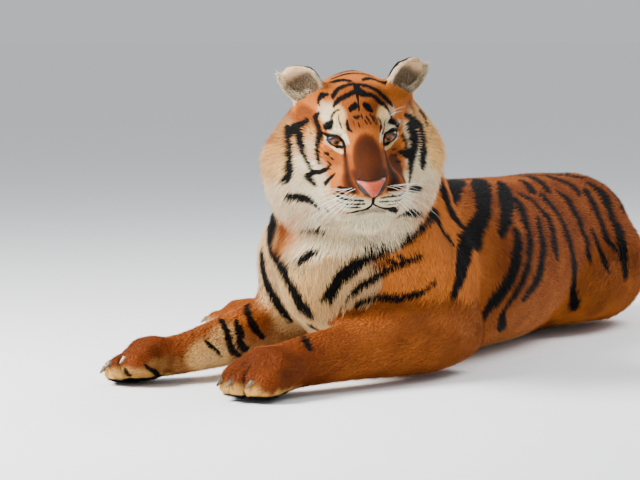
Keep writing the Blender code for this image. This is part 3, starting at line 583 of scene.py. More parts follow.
def mark_flanks(coat):
    """The stripes of the left flank, some of them partly painted shade, the same ones bent by slow
    waves on the right one, a pale belly, a deeper colour along the spine, and painted shade as a
    deeper colour on the left flank, which faces away from the key light."""
    points = coat.points
    flat = trunk_map(points)
    left = inside(flat, FLANK_STROKES + SHOULDER_STROKES)
    waves = np.column_stack((ripple(points, 0.6, 7), ripple(points, 0.5, 8)))
    right = inside(flat * (1, -1.04) + (3.2, 0.6) + waves * 1.5, FLANK_STROKES)
    left, right = (smooth(-0.3, 0.3, lines + 0.4 + coat.fuzz * 2) for lines in (left, right))
    stripes = np.maximum(left * (flat[:, 1] > -2), right * (flat[:, 1] < 2))
    round_by = np.abs(flat[:, 1])
    under = smooth(54, 62, round_by) * smooth(0.1, -0.5, coat.facing[:, 2]) * coat.flank
    coat.mark(stripes * coat.flank, under, smooth(12, 2, round_by) * coat.flank * 0.6)
    # Painted shade: a deeper colour towards the rear of the left flank, which faces away from the key light.
    far = smooth(0.05, 0.4, coat.facing[:, 0]) * coat.body * smooth(-0.4, -0.15, points[:, 1])
    coat.mark(deep=0.85 * far * smooth(60, 30, round_by))


def mark_legs(coat):
    """Pale inner sides, legs deeper in colour towards the forepaws, partly their own orange and partly
    painted shade, and bars over the hind legs.
    """
    points, facing = coat.points, coat.facing
    legs = coat.of("forearm", "paw", "shank", "foot")
    inner = np.where(coat.on("left"), -1, 1) * facing[:, 0]
    inner = smooth(0.55, 0.95, inner * 0.8 - facing[:, 2] * 0.5) * legs
    inner = inner * (1 - coat.on("fore_left") * coat.front)
    outer = coat.of("thigh") * coat.on("right") * smooth(0.3, 0, facing[:, 2])
    along = points @ (70, 20, 15) + ripple(points, 0.3, 9) * 0.7
    bars = smooth(0.78, 0.93, np.sin(along * math.tau / LEG_BAR))
    bars = bars * smooth(-0.3, 0.4, ripple(points, 0.16, 10))
    # Deeper colour on the legs, most at the forepaws: partly their own orange and partly painted shade.
    coat.mark(bars * (coat.of("shank") + outer), inner * np.where(coat.of("shank", "foot"), 0.8, 0.2),
              (0.65 + 0.4 * smooth(-0.72, -0.95, points[:, 1])) * legs)


def mark_tail(coat):
    """Black rings at even steps along the tail, a black tip, and a pale underside."""
    off = coat.points - TAIL_MIDDLE
    arc = (math.pi / 2 - np.arctan2(off[:, 1], off[:, 0])) * TAIL_RADIUS + TAIL_BEHIND
    ring = np.abs((arc + ripple(coat.points, 0.1, 11) * 0.7) % TAIL_RING - TAIL_RING / 2)
    ringed = smooth(3.1, 3.7, ring) * smooth(4, 12, arc)
    tail = coat.of("tail")
    black = np.maximum(ringed, smooth(TAIL_TIP, TAIL_TIP + 3, arc))
    coat.mark(black * tail, smooth(0.2, -0.5, coat.facing[:, 2]) * tail)


def mark_feet(coat):
    """Feet that are pale low down and at the toes' tips, with painted shade in the creases between
    the toes, and black soles.
    """
    points = coat.points
    feet = coat.of("paw", "foot")
    low = smooth(0.032, 0.014, points[:, 2] + ripple(points, 0.03, 12) * 0.004)
    crease, tips = toes(points, coat.owners)
    soles = smooth(-0.5, -0.8, coat.facing[:, 2]) * smooth(0.022, 0.014, points[:, 2]) * feet
    # The creases between the toes are darkened by painted shade.
    coat.mark(np.maximum(0.62 * crease, soles), np.maximum(low * feet * 0.85, 0.8 * tips))


def mark_ears(coat):
    """Ears that are black behind with a pale spot, and pale in front round a hollow darkened by
    painted shade.
    """
    for side in (-1, 1):
        ear = coat.of("ear") * (np.sign(coat.local[:, 0]) == side)
        off = moved(coat.local, ear_frame(side).inverted()) - (0, 0, EAR_MIDDLE)
        turned = moved(head_way_back(coat.facing), np.array(ear_frame(side).to_3x3().to_4x4().inverted()))
        rear = smooth(-0.1, 0.3, turned[:, 1])
        spot = smooth(1.15, 0.85, np.hypot(off[:, 0] / 2.0, (off[:, 2] - 0.2) / 1.9))
        rim = smooth(0.68, 0.9, np.hypot(off[:, 0] / 5.2, off[:, 2] / 6.0))
        # Painted shade in the ear's hollow, darkest low down.
        hollow = (1 - rim) * (1 - rear) * smooth(4.5, 1, off[:, 2])
        black = rear * (1 - spot) * smooth(-3.5, -1, off[:, 2]) + hollow * 0.6
        coat.black = np.where(ear, np.clip(black, 0, 1), coat.black)
        coat.pale = np.where(ear, np.clip(rear * spot + (1 - rear) * (0.55 + 0.35 * rim), 0, 1), coat.pale)


def markings(points, facing, owners):
    """How black and how pale each point of the coat is, from 0 to 1, and how deep in colour, from 0
    to 2."""
    coat = Coat(points, facing, owners)
    for mark in (mark_face, mark_breast, mark_flanks, mark_legs, mark_tail, mark_feet, mark_ears):
        mark(coat)
    pale = np.clip(coat.pale + ripple(points, 0.03, 13) * 0.06 * (coat.pale > 0.02), 0, 1)
    deep = np.clip(coat.deep + ripple(points, 0.08, 14) * 0.12, 0, 2)
    return np.clip(coat.black, 0, 1), pale, deep


def read(mesh, what, name, width=1):
    """One value or vector for each vertex of a mesh, as an array."""
    values = np.empty(len(mesh.vertices) * width, np.float32)
    (mesh.vertices if what is None else what).foreach_get(name, values)
    return (values.reshape(-1, width) if width > 1 else values).astype(float)


def places(mesh):
    """Where the vertices are."""
    return read(mesh, None, "co", 3)


def normals(mesh):
    """Which way the vertices face."""
    return read(mesh, mesh.vertex_normals, "vector", 3)


def put(mesh, points):
    """Moves the vertices to these places."""
    mesh.vertices.foreach_set("co", np.asarray(points, np.float32).ravel())
    mesh.update()


def neighbours(mesh):
    """Both ends of each edge, and how many edges each vertex has."""
    ends = np.empty(len(mesh.edges) * 2, np.int32)
    mesh.edges.foreach_get("vertices", ends)
    a, b = ends.reshape(-1, 2).T
    return a, b, np.bincount(np.concatenate((a, b)), minlength=len(mesh.vertices))


def averaged(values, web, steps, share=0.5):
    """Moves each vertex's value towards the mean of its neighbours', so many times."""
    a, b, count = web
    flat = values.reshape(len(values), -1).astype(float)
    share = np.broadcast_to(np.asarray(share, float).reshape(-1, 1), (len(flat), 1))
    for _ in range(steps):
        total = np.empty_like(flat)
        for column in range(flat.shape[1]):
            one = np.bincount(a, flat[b, column], len(flat)) + np.bincount(b, flat[a, column], len(flat))
            total[:, column] = one / count
        flat += share * (total - flat)
    return flat.reshape(values.shape)


def attribute(mesh, name, values):
    """Stores one value or vector for each vertex."""
    kind, field = ("FLOAT_VECTOR", "vector") if values.ndim > 1 else ("FLOAT", "value")
    made = mesh.attributes.get(name) or mesh.attributes.new(name, kind, "POINT")
    made.data.foreach_set(field, values.astype(np.float32).ravel())


def attributes(mesh, *names):
    """The values that attribute stored."""
    found = []
    for name in names:
        width = 3 if mesh.attributes[name].data_type == "FLOAT_VECTOR" else 1
        found.append(read(mesh, mesh.attributes[name].data, "vector" if width > 1 else "value", width))
    return found


@contextmanager
def edited(mesh):
    """The mesh opened as a bmesh, which is written back and freed at the end."""
    joined = bmesh.new()
    joined.from_mesh(mesh)
    yield joined
    joined.to_mesh(mesh)
    joined.free()


def outward(mesh):
    """Joins corners that lie on one another and turns all faces of the closed mesh to face out."""
    with edited(mesh) as joined:
        bmesh.ops.remove_doubles(joined, verts=joined.verts, dist=0.001 * MM)
        bmesh.ops.recalc_face_normals(joined, faces=joined.faces)
    mesh.shade_smooth()


def new_object(name, data):
    """An object that shows the data, in the scene."""
    made = bpy.data.objects.new(name, data)
    bpy.context.scene.collection.objects.link(made)
    return made


def mesh_object(name, points, faces, material=None):
    """A smooth mesh object from arrays of places and of faces."""
    mesh = bpy.data.meshes.new(name)
    mesh.from_pydata(points, [], faces)
    mesh.update()
    mesh.shade_smooth()
    if material:
        mesh.materials.append(material)
    return new_object(name, mesh)


def applied(obj):
    """Puts the mesh that the object's modifiers make in place of its old one."""
    bpy.context.view_layer.update()
    mesh = bpy.data.meshes.new_from_object(obj.evaluated_get(bpy.context.evaluated_depsgraph_get()))
    obj.modifiers.clear()
    obj.data = mesh
    return obj


def grid_faces(rows, columns, closed=False):
    """Quads of a grid of points, row after row, each row closed into a ring if asked."""
    wide = columns if closed else columns - 1
    row, column = np.mgrid[0 : rows - 1, 0:wide].reshape(2, -1)
    after = (column + 1) % columns
    return np.column_stack((row * columns + column, row * columns + after,
                            (row + 1) * columns + after, (row + 1) * columns + column))


def flesh(*more):
    """The CAD's pieces of flesh in one bmesh, with more nodes if asked, and each face's piece."""
    joined = bmesh.new()
    owners = []
    for number, name in enumerate(FLESH + list(more)):
        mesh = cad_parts[name].data
        joined.from_mesh(mesh)
        owners += [number] * len(mesh.polygons)
    joined.faces.ensure_lookup_table()
    return joined, np.array(owners)


def largest_shell(joined):
    """Drops what a remesh leaves inside, so that the outer shell remains."""
    seen = set()
    shells = []
    for seed in joined.verts:
        if seed in seen:
            continue
        shell, front = [], [seed]
        seen.add(seed)
        while front:
            vertex = front.pop()
            shell.append(vertex)
            for edge in vertex.link_edges:
                other = edge.other_vert(vertex)
                if other not in seen:
                    seen.add(other)
                    front.append(other)
        shells.append(shell)
    shells.sort(key=len)
    inner = [vertex for shell in shells[:-1] for vertex in shell]
    bmesh.ops.delete(joined, geom=inner, context="VERTS")


def raw_skin():
    """A voxel shell round the CAD's flesh and eyes."""
    joined = flesh("eye_left", "eye_right")[0]
    bmesh.ops.remove_doubles(joined, verts=joined.verts, dist=0.01 * MM)
    mesh = bpy.data.meshes.new("skin")
    joined.to_mesh(mesh)
    joined.free()
    skin = new_object("skin", mesh)
    remesh = skin.modifiers.new("voxels", "REMESH")
    remesh.mode = "VOXEL"
    remesh.voxel_size = SKIN_VOXEL
    applied(skin)
    with edited(skin.data) as joined:
        largest_shell(joined)
    return skin


def refine(mesh, keep):
    """Splits the faces whose corners are all kept in four."""
    with edited(mesh) as joined:
        joined.verts.ensure_lookup_table()
        edges = [edge for edge in joined.edges if all(keep[vertex.index] for vertex in edge.verts)]
        bmesh.ops.subdivide_edges(joined, edges=edges, cuts=1, use_grid_fill=True)


def near_head(points, middle_at):
    """Distances in cm from a place in the head's frame."""
    return np.linalg.norm(in_head(points) - middle_at, axis=1)


def feature_zone(points):
    """The least distance in cm from the head's finest features: both eyes and the nose."""
    local = in_head(points)
    gaps = [np.linalg.norm(local - EYE_PLACE * (side, 1, 1) - (0, -1.2, 0), axis=1) for side in (-1, 1)]
    gaps.append(np.linalg.norm((local - NOSE_TIP - (0, 0.5, -1.5)) / (1, 1, 1.3), axis=1))
    return np.min(gaps, axis=0)


def hair_and_depth(points, owners):
    """Depth of the coat, smoothing steps, length of the hair, its lift and its cover at each point:
    from COATS, and longer where the cheeks end in a ruff."""
    table = np.array([COATS[kind] for kind in KINDS], float)[owners]
    face = of_kind(owners, "head", "muzzle", "neck")
    flat = face_map(points)
    round_face = np.hypot(flat[:, 0], np.minimum(flat[:, 1], 0) * 1.25)
    ruff = smooth(66, 92, round_face) * smooth(42, 5, flat[:, 1]) * face
    ruff = ruff * smooth(14, 8, in_head(points)[:, 1])
    table += ruff[:, None] * (RUFF_COAT - table)
    cheek = smooth(26, 60, round_face) * smooth(60, 30, flat[:, 1]) * face * (1 - ruff)
    table += cheek[:, None] * (CHEEK_COAT - table) * (table[:, :1] < 1)
    chin = smooth(1.2, 0.6, np.hypot(flat[:, 0] / 26, (flat[:, 1] + 40) / 15))
    chin = chin * of_kind(owners, "head", "muzzle")
    table += chin[:, None] * (CHIN_COAT - table) * (table[:, 2:3] < CHIN_COAT[2])
    return table


def lie_of_hair(points, facing, owners):
    """The way the hair points: from nose to tail along the trunk, down each leg, along the tail, down
    the breast, and away from the nose over the head."""
    ways = np.zeros((len(FLESH), 3))
    for chain in CHAINS:
        stops = [middle(name) for name in chain]
        for number, name in enumerate(chain[1:], 1):
            after = stops[min(number + 1, len(stops) - 1)]
            ways[FLESH.index(name)] = after - stops[number - 1]
    ways = unit(ways)[owners]
    flank = of_kind(owners, "chest", "loins", "rump")
    ways[:, 2] -= 0.5 * flank * (1 - np.abs(facing[:, 2]))
    tail = of_kind(owners, "tail")[:, None] * smooth(-0.15, 0.05, points[:, 1] - TAIL_MIDDLE[1])[:, None]
    off = points - TAIL_MIDDLE
    ways = ways * (1 - tail) + unit(np.column_stack((-off[:, 1], off[:, 0], 0 * off[:, 0]))) * tail
    front = smooth(0.2, 0.7, facing @ BREAST_FRONT) * of_kind(owners, "neck", "chest", "upper_arm")
    ways = ways * (1 - front[:, None]) + np.array((0, 0.15, -1)) * front[:, None]
    local = in_head(points)
    away = local - NOSE_TIP
    away[:, 2] -= smooth(0, -10, local[:, 2]) * 5
    away[:, 1] += 1.5
    flat = face_map(points)
    away[:, 2] -= 16 * smooth(45, 80, np.abs(flat[:, 0])) * smooth(70, 30, flat[:, 1])
    away[:, 2] -= 8 * smooth(-28, -36, flat[:, 1])
    head = of_kind(owners, "head", "muzzle") + of_kind(owners, "neck") * smooth(20, 10, local[:, 1])
    for side in (-1, 1):
        ear = of_kind(owners, "ear") * (np.sign(local[:, 0]) == side)
        upward = np.array(ear_frame(side))[:3, 2]
        spread = moved(local, ear_frame(side).inverted())[:, :1] * np.array(ear_frame(side))[:3, 0] * 0.25
        away = np.where(ear[:, None], upward + spread, away)
        head = np.where(ear, 1, head)
    head = np.clip(head, 0, 1)[:, None]
    return unit(ways * (1 - head) + unit(head_way(away)) * head)


def flattened(ways, facing):
    """The directions laid along the surface."""
    return unit(ways - (ways * facing).sum(axis=1)[:, None] * facing)


def eye_corner(local, side):
    """Where points are round an eye, in cm: across from its middle towards the ear, up, the distance
    from its middle, and the offset from its middle as a vector."""
    off = local - EYE_PLACE * (side, 1, 1)
    return off[:, 0] * side, off[:, 2], np.linalg.norm(off, axis=1), off


def lid_line(across):
    """Heights of the upper and lower lid above the eye's middle, across from -1 at the tear duct to 1
    at the outer corner: a flat arch above, a flatter one below, both tilted down to the nose."""
    arch = np.clip(1 - np.abs(across) ** 2.4, 0, 1)
    tilt = 0.1 * across - 0.06 * (across < -0.6) * (-across - 0.6) * 4
    return tilt + 1.02 * arch, tilt - 0.98 * arch


LID_HALF = 1.84  # cm from an eye's middle to either corner
LID_STANDS = 0.16  # cm from the eyeball to the skin of the lid
SOCKET_DROPS = 0.45  # cm from the eyeball's surface in to the skin behind it
LIP_DEPTH, PAD_RISE, BROW_RISE = 0.34, 0.25, 0.3  # cm


def carve_face(points):
    """Sets the lids on the eyeballs, opens them, and presses in the lips and the groove under the
    nose: near an eye the skin lies on a ball a little larger than the eye, and in the opening it
    drops inside it."""
    local = in_head(points)
    for side in (-1, 1):
        gap, off = eye_corner(local, side)[2:]
        front = smooth(0.4, -0.2, off[:, 1])
        onto = np.maximum(gap, EYE_RADIUS + LID_STANDS)
        place = EYE_PLACE * (side, 1, 1) + unit(off) * onto[:, None]
        near = (gap < 3.2)[:, None]
        local = np.where(near, local + (place - local) * front[:, None], local)
        across, up, gap, off = eye_corner(local, side)
        high, low = lid_line(across / LID_HALF)
        room = np.minimum(np.minimum(high - up, up - low), (LID_HALF - np.abs(across)) * 0.7)
        opened = smooth(0.0, 0.12, room) * (off[:, 1] < 0) * (gap < 3.6)
        target = EYE_PLACE * (side, 1, 1) + unit(off) * (EYE_RADIUS - SOCKET_DROPS)
        local = local + (target - local) * opened[:, None]
    flat = face_map(from_head(local))
    groove = smooth(-1.6, 0.3, inside(flat, LIPS)) * (local[:, 1] < -3)
    inward = unit(FACE_MIDDLE - local)
    local = local + inward * (LIP_DEPTH * groove)[:, None]
    local = local - inward * (PAD_RISE * patched(flat, WHISKER_PADS) * (1 - groove))[:, None]
    local = local - inward * (BROW_RISE * patched(flat, BROWS))[:, None]
    return from_head(local)


HEAD_ZONE, HEAD_REACH = (0, 2, -5), 22  # where the skin is split in four, in cm
FACE_ZONE, FACE_REACH = (0, -3, -4), 13.5  # where it is split again
FEATURE_REACH = 3.4  # and once more, round the eyes and nose
COVER_STEPS, LIE_STEPS = 10, 25  # how often the coat's measures and the hair's lie are averaged
SINK_STEPS = 8
TOE_DEPTH = 0.55  # cm


def build_skin():
    """The skin: voxels round the CAD's flesh, finer on the head and feet, laid back on the CAD's
    surface, smoothed, sunk along its normals by the coat's depth, and carved at the eyes and lips."""
    skin = raw_skin()
    mesh = skin.data
    head = near_head(places(mesh), HEAD_ZONE)
    joined, of_face = flesh("eye_left", "eye_right")
    tree = BVHTree.FromBMesh(joined)
    number = len(FLESH)
    found = np.array([of_face[tree.find_nearest(point)[2]] for point in places(mesh)])
    feet = np.isin(found, [n for n, kind in enumerate(KINDS) if kind in ("paw", "foot")])
    refine(mesh, (head < HEAD_REACH) | feet)
    refine(mesh, near_head(places(mesh), FACE_ZONE) < FACE_REACH)
    refine(mesh, feature_zone(places(mesh)) < FEATURE_REACH)
    hits = [tree.find_nearest(point) for point in places(mesh)]
    joined.free()
    owners = of_face[[hit[2] for hit in hits]]
    owners[owners >= number] = FLESH.index("head")
    points = np.array([hit[0] for hit in hits])
    web = neighbours(mesh)
    table = averaged(hair_and_depth(points, owners), web, COVER_STEPS)
    head = smooth(26, 20, near_head(points, HEAD_ZONE))
    steps = table[:, 1] * (1 + head * 1.6) + 1
    for step in range(int(steps.max()) + 1):
        points = averaged(points, web, 1, 0.5 * np.clip(steps - step, 0, 1))
    put(mesh, points)
    depth = averaged(table[:, 0] * CM, web, 6)
    for _ in range(SINK_STEPS):
        points = places(mesh) - normals(mesh) * (depth / SINK_STEPS)[:, None]
        put(mesh, averaged(points, web, 1, np.clip(depth / (2.5 * CM), 0.02, 0.5)))
    points = carve_face(places(mesh))
    points = points - normals(mesh) * (TOE_DEPTH * CM * toes(points, owners)[0])[:, None]
    points[:, 2] = np.maximum(points[:, 2], 0.5 * MM)
    put(mesh, points)
    facing = normals(mesh)
    lie = averaged(lie_of_hair(points, facing, owners), web, LIE_STEPS)
    for name, values in zip(("black", "pale", "deep"), markings(points, facing, owners)):
        attribute(mesh, name, values)
    attribute(mesh, "lie", flattened(lie, facing))
    for name, column in (("length", 2), ("lift", 3), ("cover", 4)):
        attribute(mesh, name, table[:, column])
    attribute(mesh, "owner", owners.astype(float))
    mesh.shade_smooth()
    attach(skin, "root")
    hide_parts(*FLESH)
    return skin


def unwrapped(skin):
    """Lays the skin flat by its own shape, in a UV map."""
    bpy.context.view_layer.objects.active = skin
    skin.select_set(True)
    bpy.ops.object.mode_set(mode="EDIT")
    bpy.ops.mesh.select_all(action="SELECT")
    bpy.ops.uv.smart_project(angle_limit=math.radians(66), island_margin=0.001)
    bpy.ops.object.mode_set(mode="OBJECT")
    skin.select_set(False)


def skin_triangles(mesh):
    """The vertices of each triangle, its corners' flat places, and its area."""
    mesh.calc_loop_triangles()
    count = len(mesh.loop_triangles)
    corners = np.empty(count * 3, np.int32)
    mesh.loop_triangles.foreach_get("vertices", corners)
    loops = np.empty(count * 3, np.int32)
    mesh.loop_triangles.foreach_get("loops", loops)
    area = np.empty(count, np.float32)
    mesh.loop_triangles.foreach_get("area", area)
    flat = np.empty(len(mesh.loops) * 2, np.float32)
    mesh.uv_layers[0].uv.foreach_get("vector", flat)
    return corners.reshape(-1, 3), flat.reshape(-1, 2)[loops].reshape(-1, 3, 2), area.astype(float)


def tufts_wanted(triangles, density):
    """How many tufts each triangle wants: its area times the mean density of its corners."""
    corners, _, area = triangles
    return area * density[corners].mean(axis=1)


def roots(values, triangles, density, most, rng):
    """Places for tufts, spread evenly: along the row of all triangles, each as long as the tufts that
    it wants, one place at random in each equal step.  It gives the values and the flat place there."""
    corners, flat, _ = triangles
    row = np.cumsum(tufts_wanted(triangles, density))
    count = int(min(row[-1], most))
    marks = (np.arange(count) + rng.random(count)) / count * row[-1]
    face = np.searchsorted(row, marks).clip(0, len(row) - 1)
    root = np.sqrt(rng.random(count))
    other = rng.random(count)
    weights = np.column_stack((1 - root, root * (1 - other), root * other))
    found = {}
    for name, value in values.items():
        three = value[corners[face]]
        if name == "owner":
            found[name] = three[:, 0]
            continue
        found[name] = np.einsum("nc,nc...->n...", weights, three)
    found["flat"] = np.einsum("nc,nck->nk", weights, flat[face])
    return found


MOST_TRIANGLES = 198000
FEWEST_TUFTS = 300  # a region with fewer has no coat piece
BAKE_PATCH = 0.0015  # half the size of a tuft's patch on the flat map
LONG_HAIR = 28 * MM  # longer tufts bend


def tuft_width(length):
    """Width of a tuft at its root: 0.4 mm and 6% of its length, at most 1.6 mm."""
    return np.minimum(0.4 * MM + length * 0.06, 1.6 * MM)


def grown(found, rng, hair):
    """Corners of the tufts: a three-sided root a little under the skin, then for long hair a middle,
    and a tip.  The hair leaves the skin by its lift, and the outer half of long hair lies flatter and
    sags by a tenth of its length."""
    count = len(found["length"])
    facing = unit(found["facing"])
    way = flattened(found["lie"] + rng.normal(0, 0.13, (count, 3)), facing)
    side = np.cross(facing, way)
    length = found["length"] * CM * hair * rng.uniform(0.7, 1.25, count)
    width = tuft_width(length)
    lift = np.radians(found["lift"]) * rng.uniform(0.6, 1.35, count)
    base = found["place"] - facing * (0.25 * width)[:, None]

    def ahead(distance, angle):
        return way * (distance * np.cos(angle))[:, None] + facing * (distance * np.sin(angle))[:, None]

    def ring(middle_at, size):
        return [middle_at - side * size[:, None] / 2, middle_at + side * size[:, None] / 2,
                middle_at + facing * size[:, None] * 0.4]

    bent = np.median(length) > LONG_HAIR
    if bent:
        half = base + ahead(length * 0.5, lift * 1.15)
        drop = np.array((0, 0, -0.1)) * length[:, None]
        tip = half + ahead(length * 0.5, lift * 0.7) + drop
        rows = ring(base, width) + ring(half, width * 0.72) + [tip]
    else:
        rows = ring(base, width) + [base + ahead(length, lift)]
    points = np.stack(rows, axis=1)
    points[..., 2] = np.maximum(points[..., 2], 1.2 * MM)
    return points, bent


SHORT_FACES = np.array(((0, 2, 1), (0, 1, 3), (1, 2, 3), (2, 0, 3)))
LONG_FACES = np.array(((0, 2, 1), (0, 1, 4), (0, 4, 3), (1, 2, 5), (1, 5, 4), (2, 0, 3), (2, 3, 5),
                       (3, 4, 6), (4, 5, 6), (5, 3, 6)))


def coat_mesh(name, points, bent, found, rng, material):
    """One mesh of many tufts, with their markings, the run from root to tip and the bake's patches."""
    count, corners = points.shape[:2]
    faces = LONG_FACES if bent else SHORT_FACES
    index = (np.arange(count)[:, None, None] * corners + faces).reshape(-1, 3)
    mesh = bpy.data.meshes.new(name)
    mesh.vertices.add(count * corners)
    mesh.vertices.foreach_set("co", points.astype(np.float32).ravel())
    mesh.loops.add(index.size)
    mesh.loops.foreach_set("vertex_index", index.ravel().astype(np.int32))
    mesh.polygons.add(len(index))
    mesh.polygons.foreach_set("loop_start", np.arange(0, index.size, 3, dtype=np.int32))
    mesh.update(calc_edges=True)
    run = np.array((0, 0, 0.1, 0.5, 0.5, 0.6, 1) if bent else (0, 0, 0.15, 1), float)
    spread = {key: found[key] for key in ("black", "pale", "deep")}
    for key, value in (*spread.items(), ("shade", rng.normal(0, 1, count))):
        attribute(mesh, key, np.repeat(value, corners))
    attribute(mesh, "tip", np.tile(run, count))
    spots = np.column_stack((np.linspace(-1, 1, corners), run * 2 - 1)) * BAKE_PATCH
    flat = (found["flat"][:, None] + spots).clip(0, 1)[:, faces.ravel()]
    mesh.uv_layers.new(name="OFBake").uv.foreach_set("vector", flat.astype(np.float32).ravel())
    mesh.materials.append(material)
    return new_object(name, mesh)


def bare_skin(points):
    """Which points lie in an eye's opening, on its rims or under the nose leather."""
    local = in_head(points)
    bare = np.abs(local[:, 0]) < nose_half_width(local[:, 2]) + 0.15
    bare &= (local[:, 1] < -8) & (local[:, 2] < -3.7) & (local[:, 2] > -7.1)
    for side in (-1, 1):
        across, up, gap, _ = eye_corner(local, side)
        high, low = lid_line(across / LID_HALF)
        bare |= (gap < 2.5) & (up < high + 0.35) & (up > low - 0.3) & (np.abs(across) < LID_HALF + 0.25)
    return bare


def build_coat(skin, settings):
    """All the coat: tufts on each region, their markings worked out afresh at each root."""
    mesh = skin.data
    triangles = skin_triangles(mesh)
    names = ("lie", "length", "lift", "cover", "owner")
    values = dict(zip(names, attributes(mesh, *names)))
    values["place"], values["facing"] = places(mesh), normals(mesh)
    owners = values["owner"].astype(int)
    material = coat_material(settings, "coat")
    resting = smooth(0.012, 0.005, values["place"][:, 2]) * smooth(-0.3, -0.7, values["facing"][:, 2])
    grows = (1 - resting) * ~bare_skin(values["place"])
    length = values["length"] * CM * settings.length
    least = np.maximum(length, 3 * MM)
    density = values["cover"] * settings.fullness / (0.5 * least * tuft_width(least))
    for number, (name, kinds) in enumerate(COAT_PIECES.items()):
        rng = np.random.default_rng(settings.seed + number)
        for long_hair in (False, True):
            here = density * of_kind(owners, *kinds) * grows * ((length > LONG_HAIR) == long_hair)
            if tufts_wanted(triangles, here).sum() < FEWEST_TUFTS:
                continue
            most = MOST_TRIANGLES // len(LONG_FACES if long_hair else SHORT_FACES)
            found = roots(values, triangles, here, most, rng)
            points, bent = grown(found, rng, settings.length)
            seen = 0.35 * found["place"] + 0.65 * points[:, -1]
            found["black"], found["pale"], found["deep"] = markings(
                seen, unit(found["facing"]), found["owner"].astype(int))
            made = coat_mesh(name + ("_long" if long_hair else ""), points, bent, found, rng, material)
            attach(made, "root")


# Heights in the head's frame and half widths of the nose leather there, in cm.
NOSE_WIDTHS = ((-7.2, 0.2), (-6.9, 0.8), (-6.4, 1.6), (-5.6, 2.65), (-4.7, 3.2), (-4.0, 3.1), (-3.7, 2.2))
NOSE_FOOT, NOSE_TOP = -7.25, -3.65  # cm
NOSE_STANDS, NOSTRIL_DEPTH, NOSE_CREASE = 0.42, 0.3, 0.1  # cm


def nose_half_width(height):
    """Half the width of the nose leather at a height in the head's frame, both in cm."""
    return np.interp(height, *zip(*NOSE_WIDTHS))


def skin_front(local, across, up):
    """How far forward the muzzle's skin is at each place across and up: the mean of the front
    vertices, weighed by a bell curve of their distance."""
    front = local[(local[:, 1] < -7.5) & (np.abs(local[:, 0]) < 6) & (np.abs(local[:, 2] + 5.5) < 5)]
    gap = (across.ravel()[:, None] - front[:, 0]) ** 2 + (up.ravel()[:, None] - front[:, 2]) ** 2
    weight = np.exp(-gap / 0.12) + 1e-12
    return ((weight * front[:, 1]).sum(axis=1) / weight.sum(axis=1)).reshape(across.shape)


def mirrored(strokes):
    """The strokes, and the same ones on the other side."""
    return strokes + tuple(tuple((-across, up, half) for across, up, half in stroke) for stroke in strokes)


# Strokes on the nose leather, in cm across and up: the nostrils, then the creases under and between
# them.
NOSTRILS = mirrored((
    ((3.2, -4.5, 0.3), (2.5, -5.1, 0.62), (1.75, -5.75, 0.62), (1.1, -6.4, 0.5), (0.6, -6.9, 0.2)),
))
NOSE_LOWER = mirrored((
    ((2.5, -5.9, 0.16), (1.3, -6.45, 0.16), (0.3, -6.85, 0.2), (0, -7.0, 0.2)),
    ((0, -5.6, 0.02), (0, -6.9, 0.1)),
))


def build_nose(skin):
    """The nose leather: over a grid of heights and shares of the half width it stands off the skin by
    a rounded edge profile, and the nostrils are pressed in where strokes lie on it.  The skin drops
    away behind it."""
    local = in_head(places(skin.data))
    rows, columns = 60, 90
    up = np.linspace(NOSE_FOOT, NOSE_TOP, rows)[:, None] * np.ones(columns)
    share = np.sin(np.linspace(-0.5, 0.5, columns) * math.pi) * np.ones((rows, 1))
    across = share * nose_half_width(up)
    edge = (1 - np.abs(share)) * nose_half_width(up) / 0.5
    edge = np.minimum(edge, np.minimum((up - NOSE_FOOT) / 0.35, (NOSE_TOP - up) / 0.5))
    edge = np.clip(edge, 0, 1)
    flat = np.column_stack((across.ravel(), up.ravel()))
    pit = smooth(-0.22, 0.2, inside(flat, NOSTRILS)).reshape(up.shape)
    crease = smooth(-0.25, 0.1, inside(flat, NOSE_LOWER)).reshape(up.shape)
    stand = NOSE_STANDS * np.sqrt(1 - (1 - edge) ** 2) - 0.22 * (edge < 0.02)
    stand = stand - NOSTRIL_DEPTH * pit - NOSE_CREASE * crease
    y = skin_front(local, across, up) - stand
    covered = smooth(-0.05, 0.15, nose_half_width(local[:, 2]) - np.abs(local[:, 0])) * (local[:, 1] < -7)
    covered = covered * smooth(-7.2, -6.8, local[:, 2]) * smooth(-3.7, -4.2, local[:, 2])
    put(skin.data, from_head(local + np.array((0, 1.2, 0)) * covered[:, None]))
    points = from_head(np.column_stack((across.ravel(), y.ravel(), up.ravel())))
    made = mesh_object("nose", points, grid_faces(rows, columns), nose_material())
    solid = made.modifiers.new("depth", "SOLIDIFY")
    solid.thickness = 3 * MM
    solid.offset = -1
    dark_edge = smooth(0.55, 0.1, edge) * (0.35 + 0.65 * smooth(-4.6, -3.9, up))
    # Painted shade in the nostrils and the creases, and a darker edge, most along the top.
    attribute(made.data, "pit", np.maximum(np.maximum(pit, crease * 0.7), dark_edge).ravel())
    applied(made)
    outward(made.data)
    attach(made, "root")


GAZE_DOWN = math.radians(1)
RIM_STANDS = 0.06  # cm from the eyeball to the middle of a wet rim
RIM_THICK = (0.2, 0.13)  # cm, the radius of the upper and the lower rim


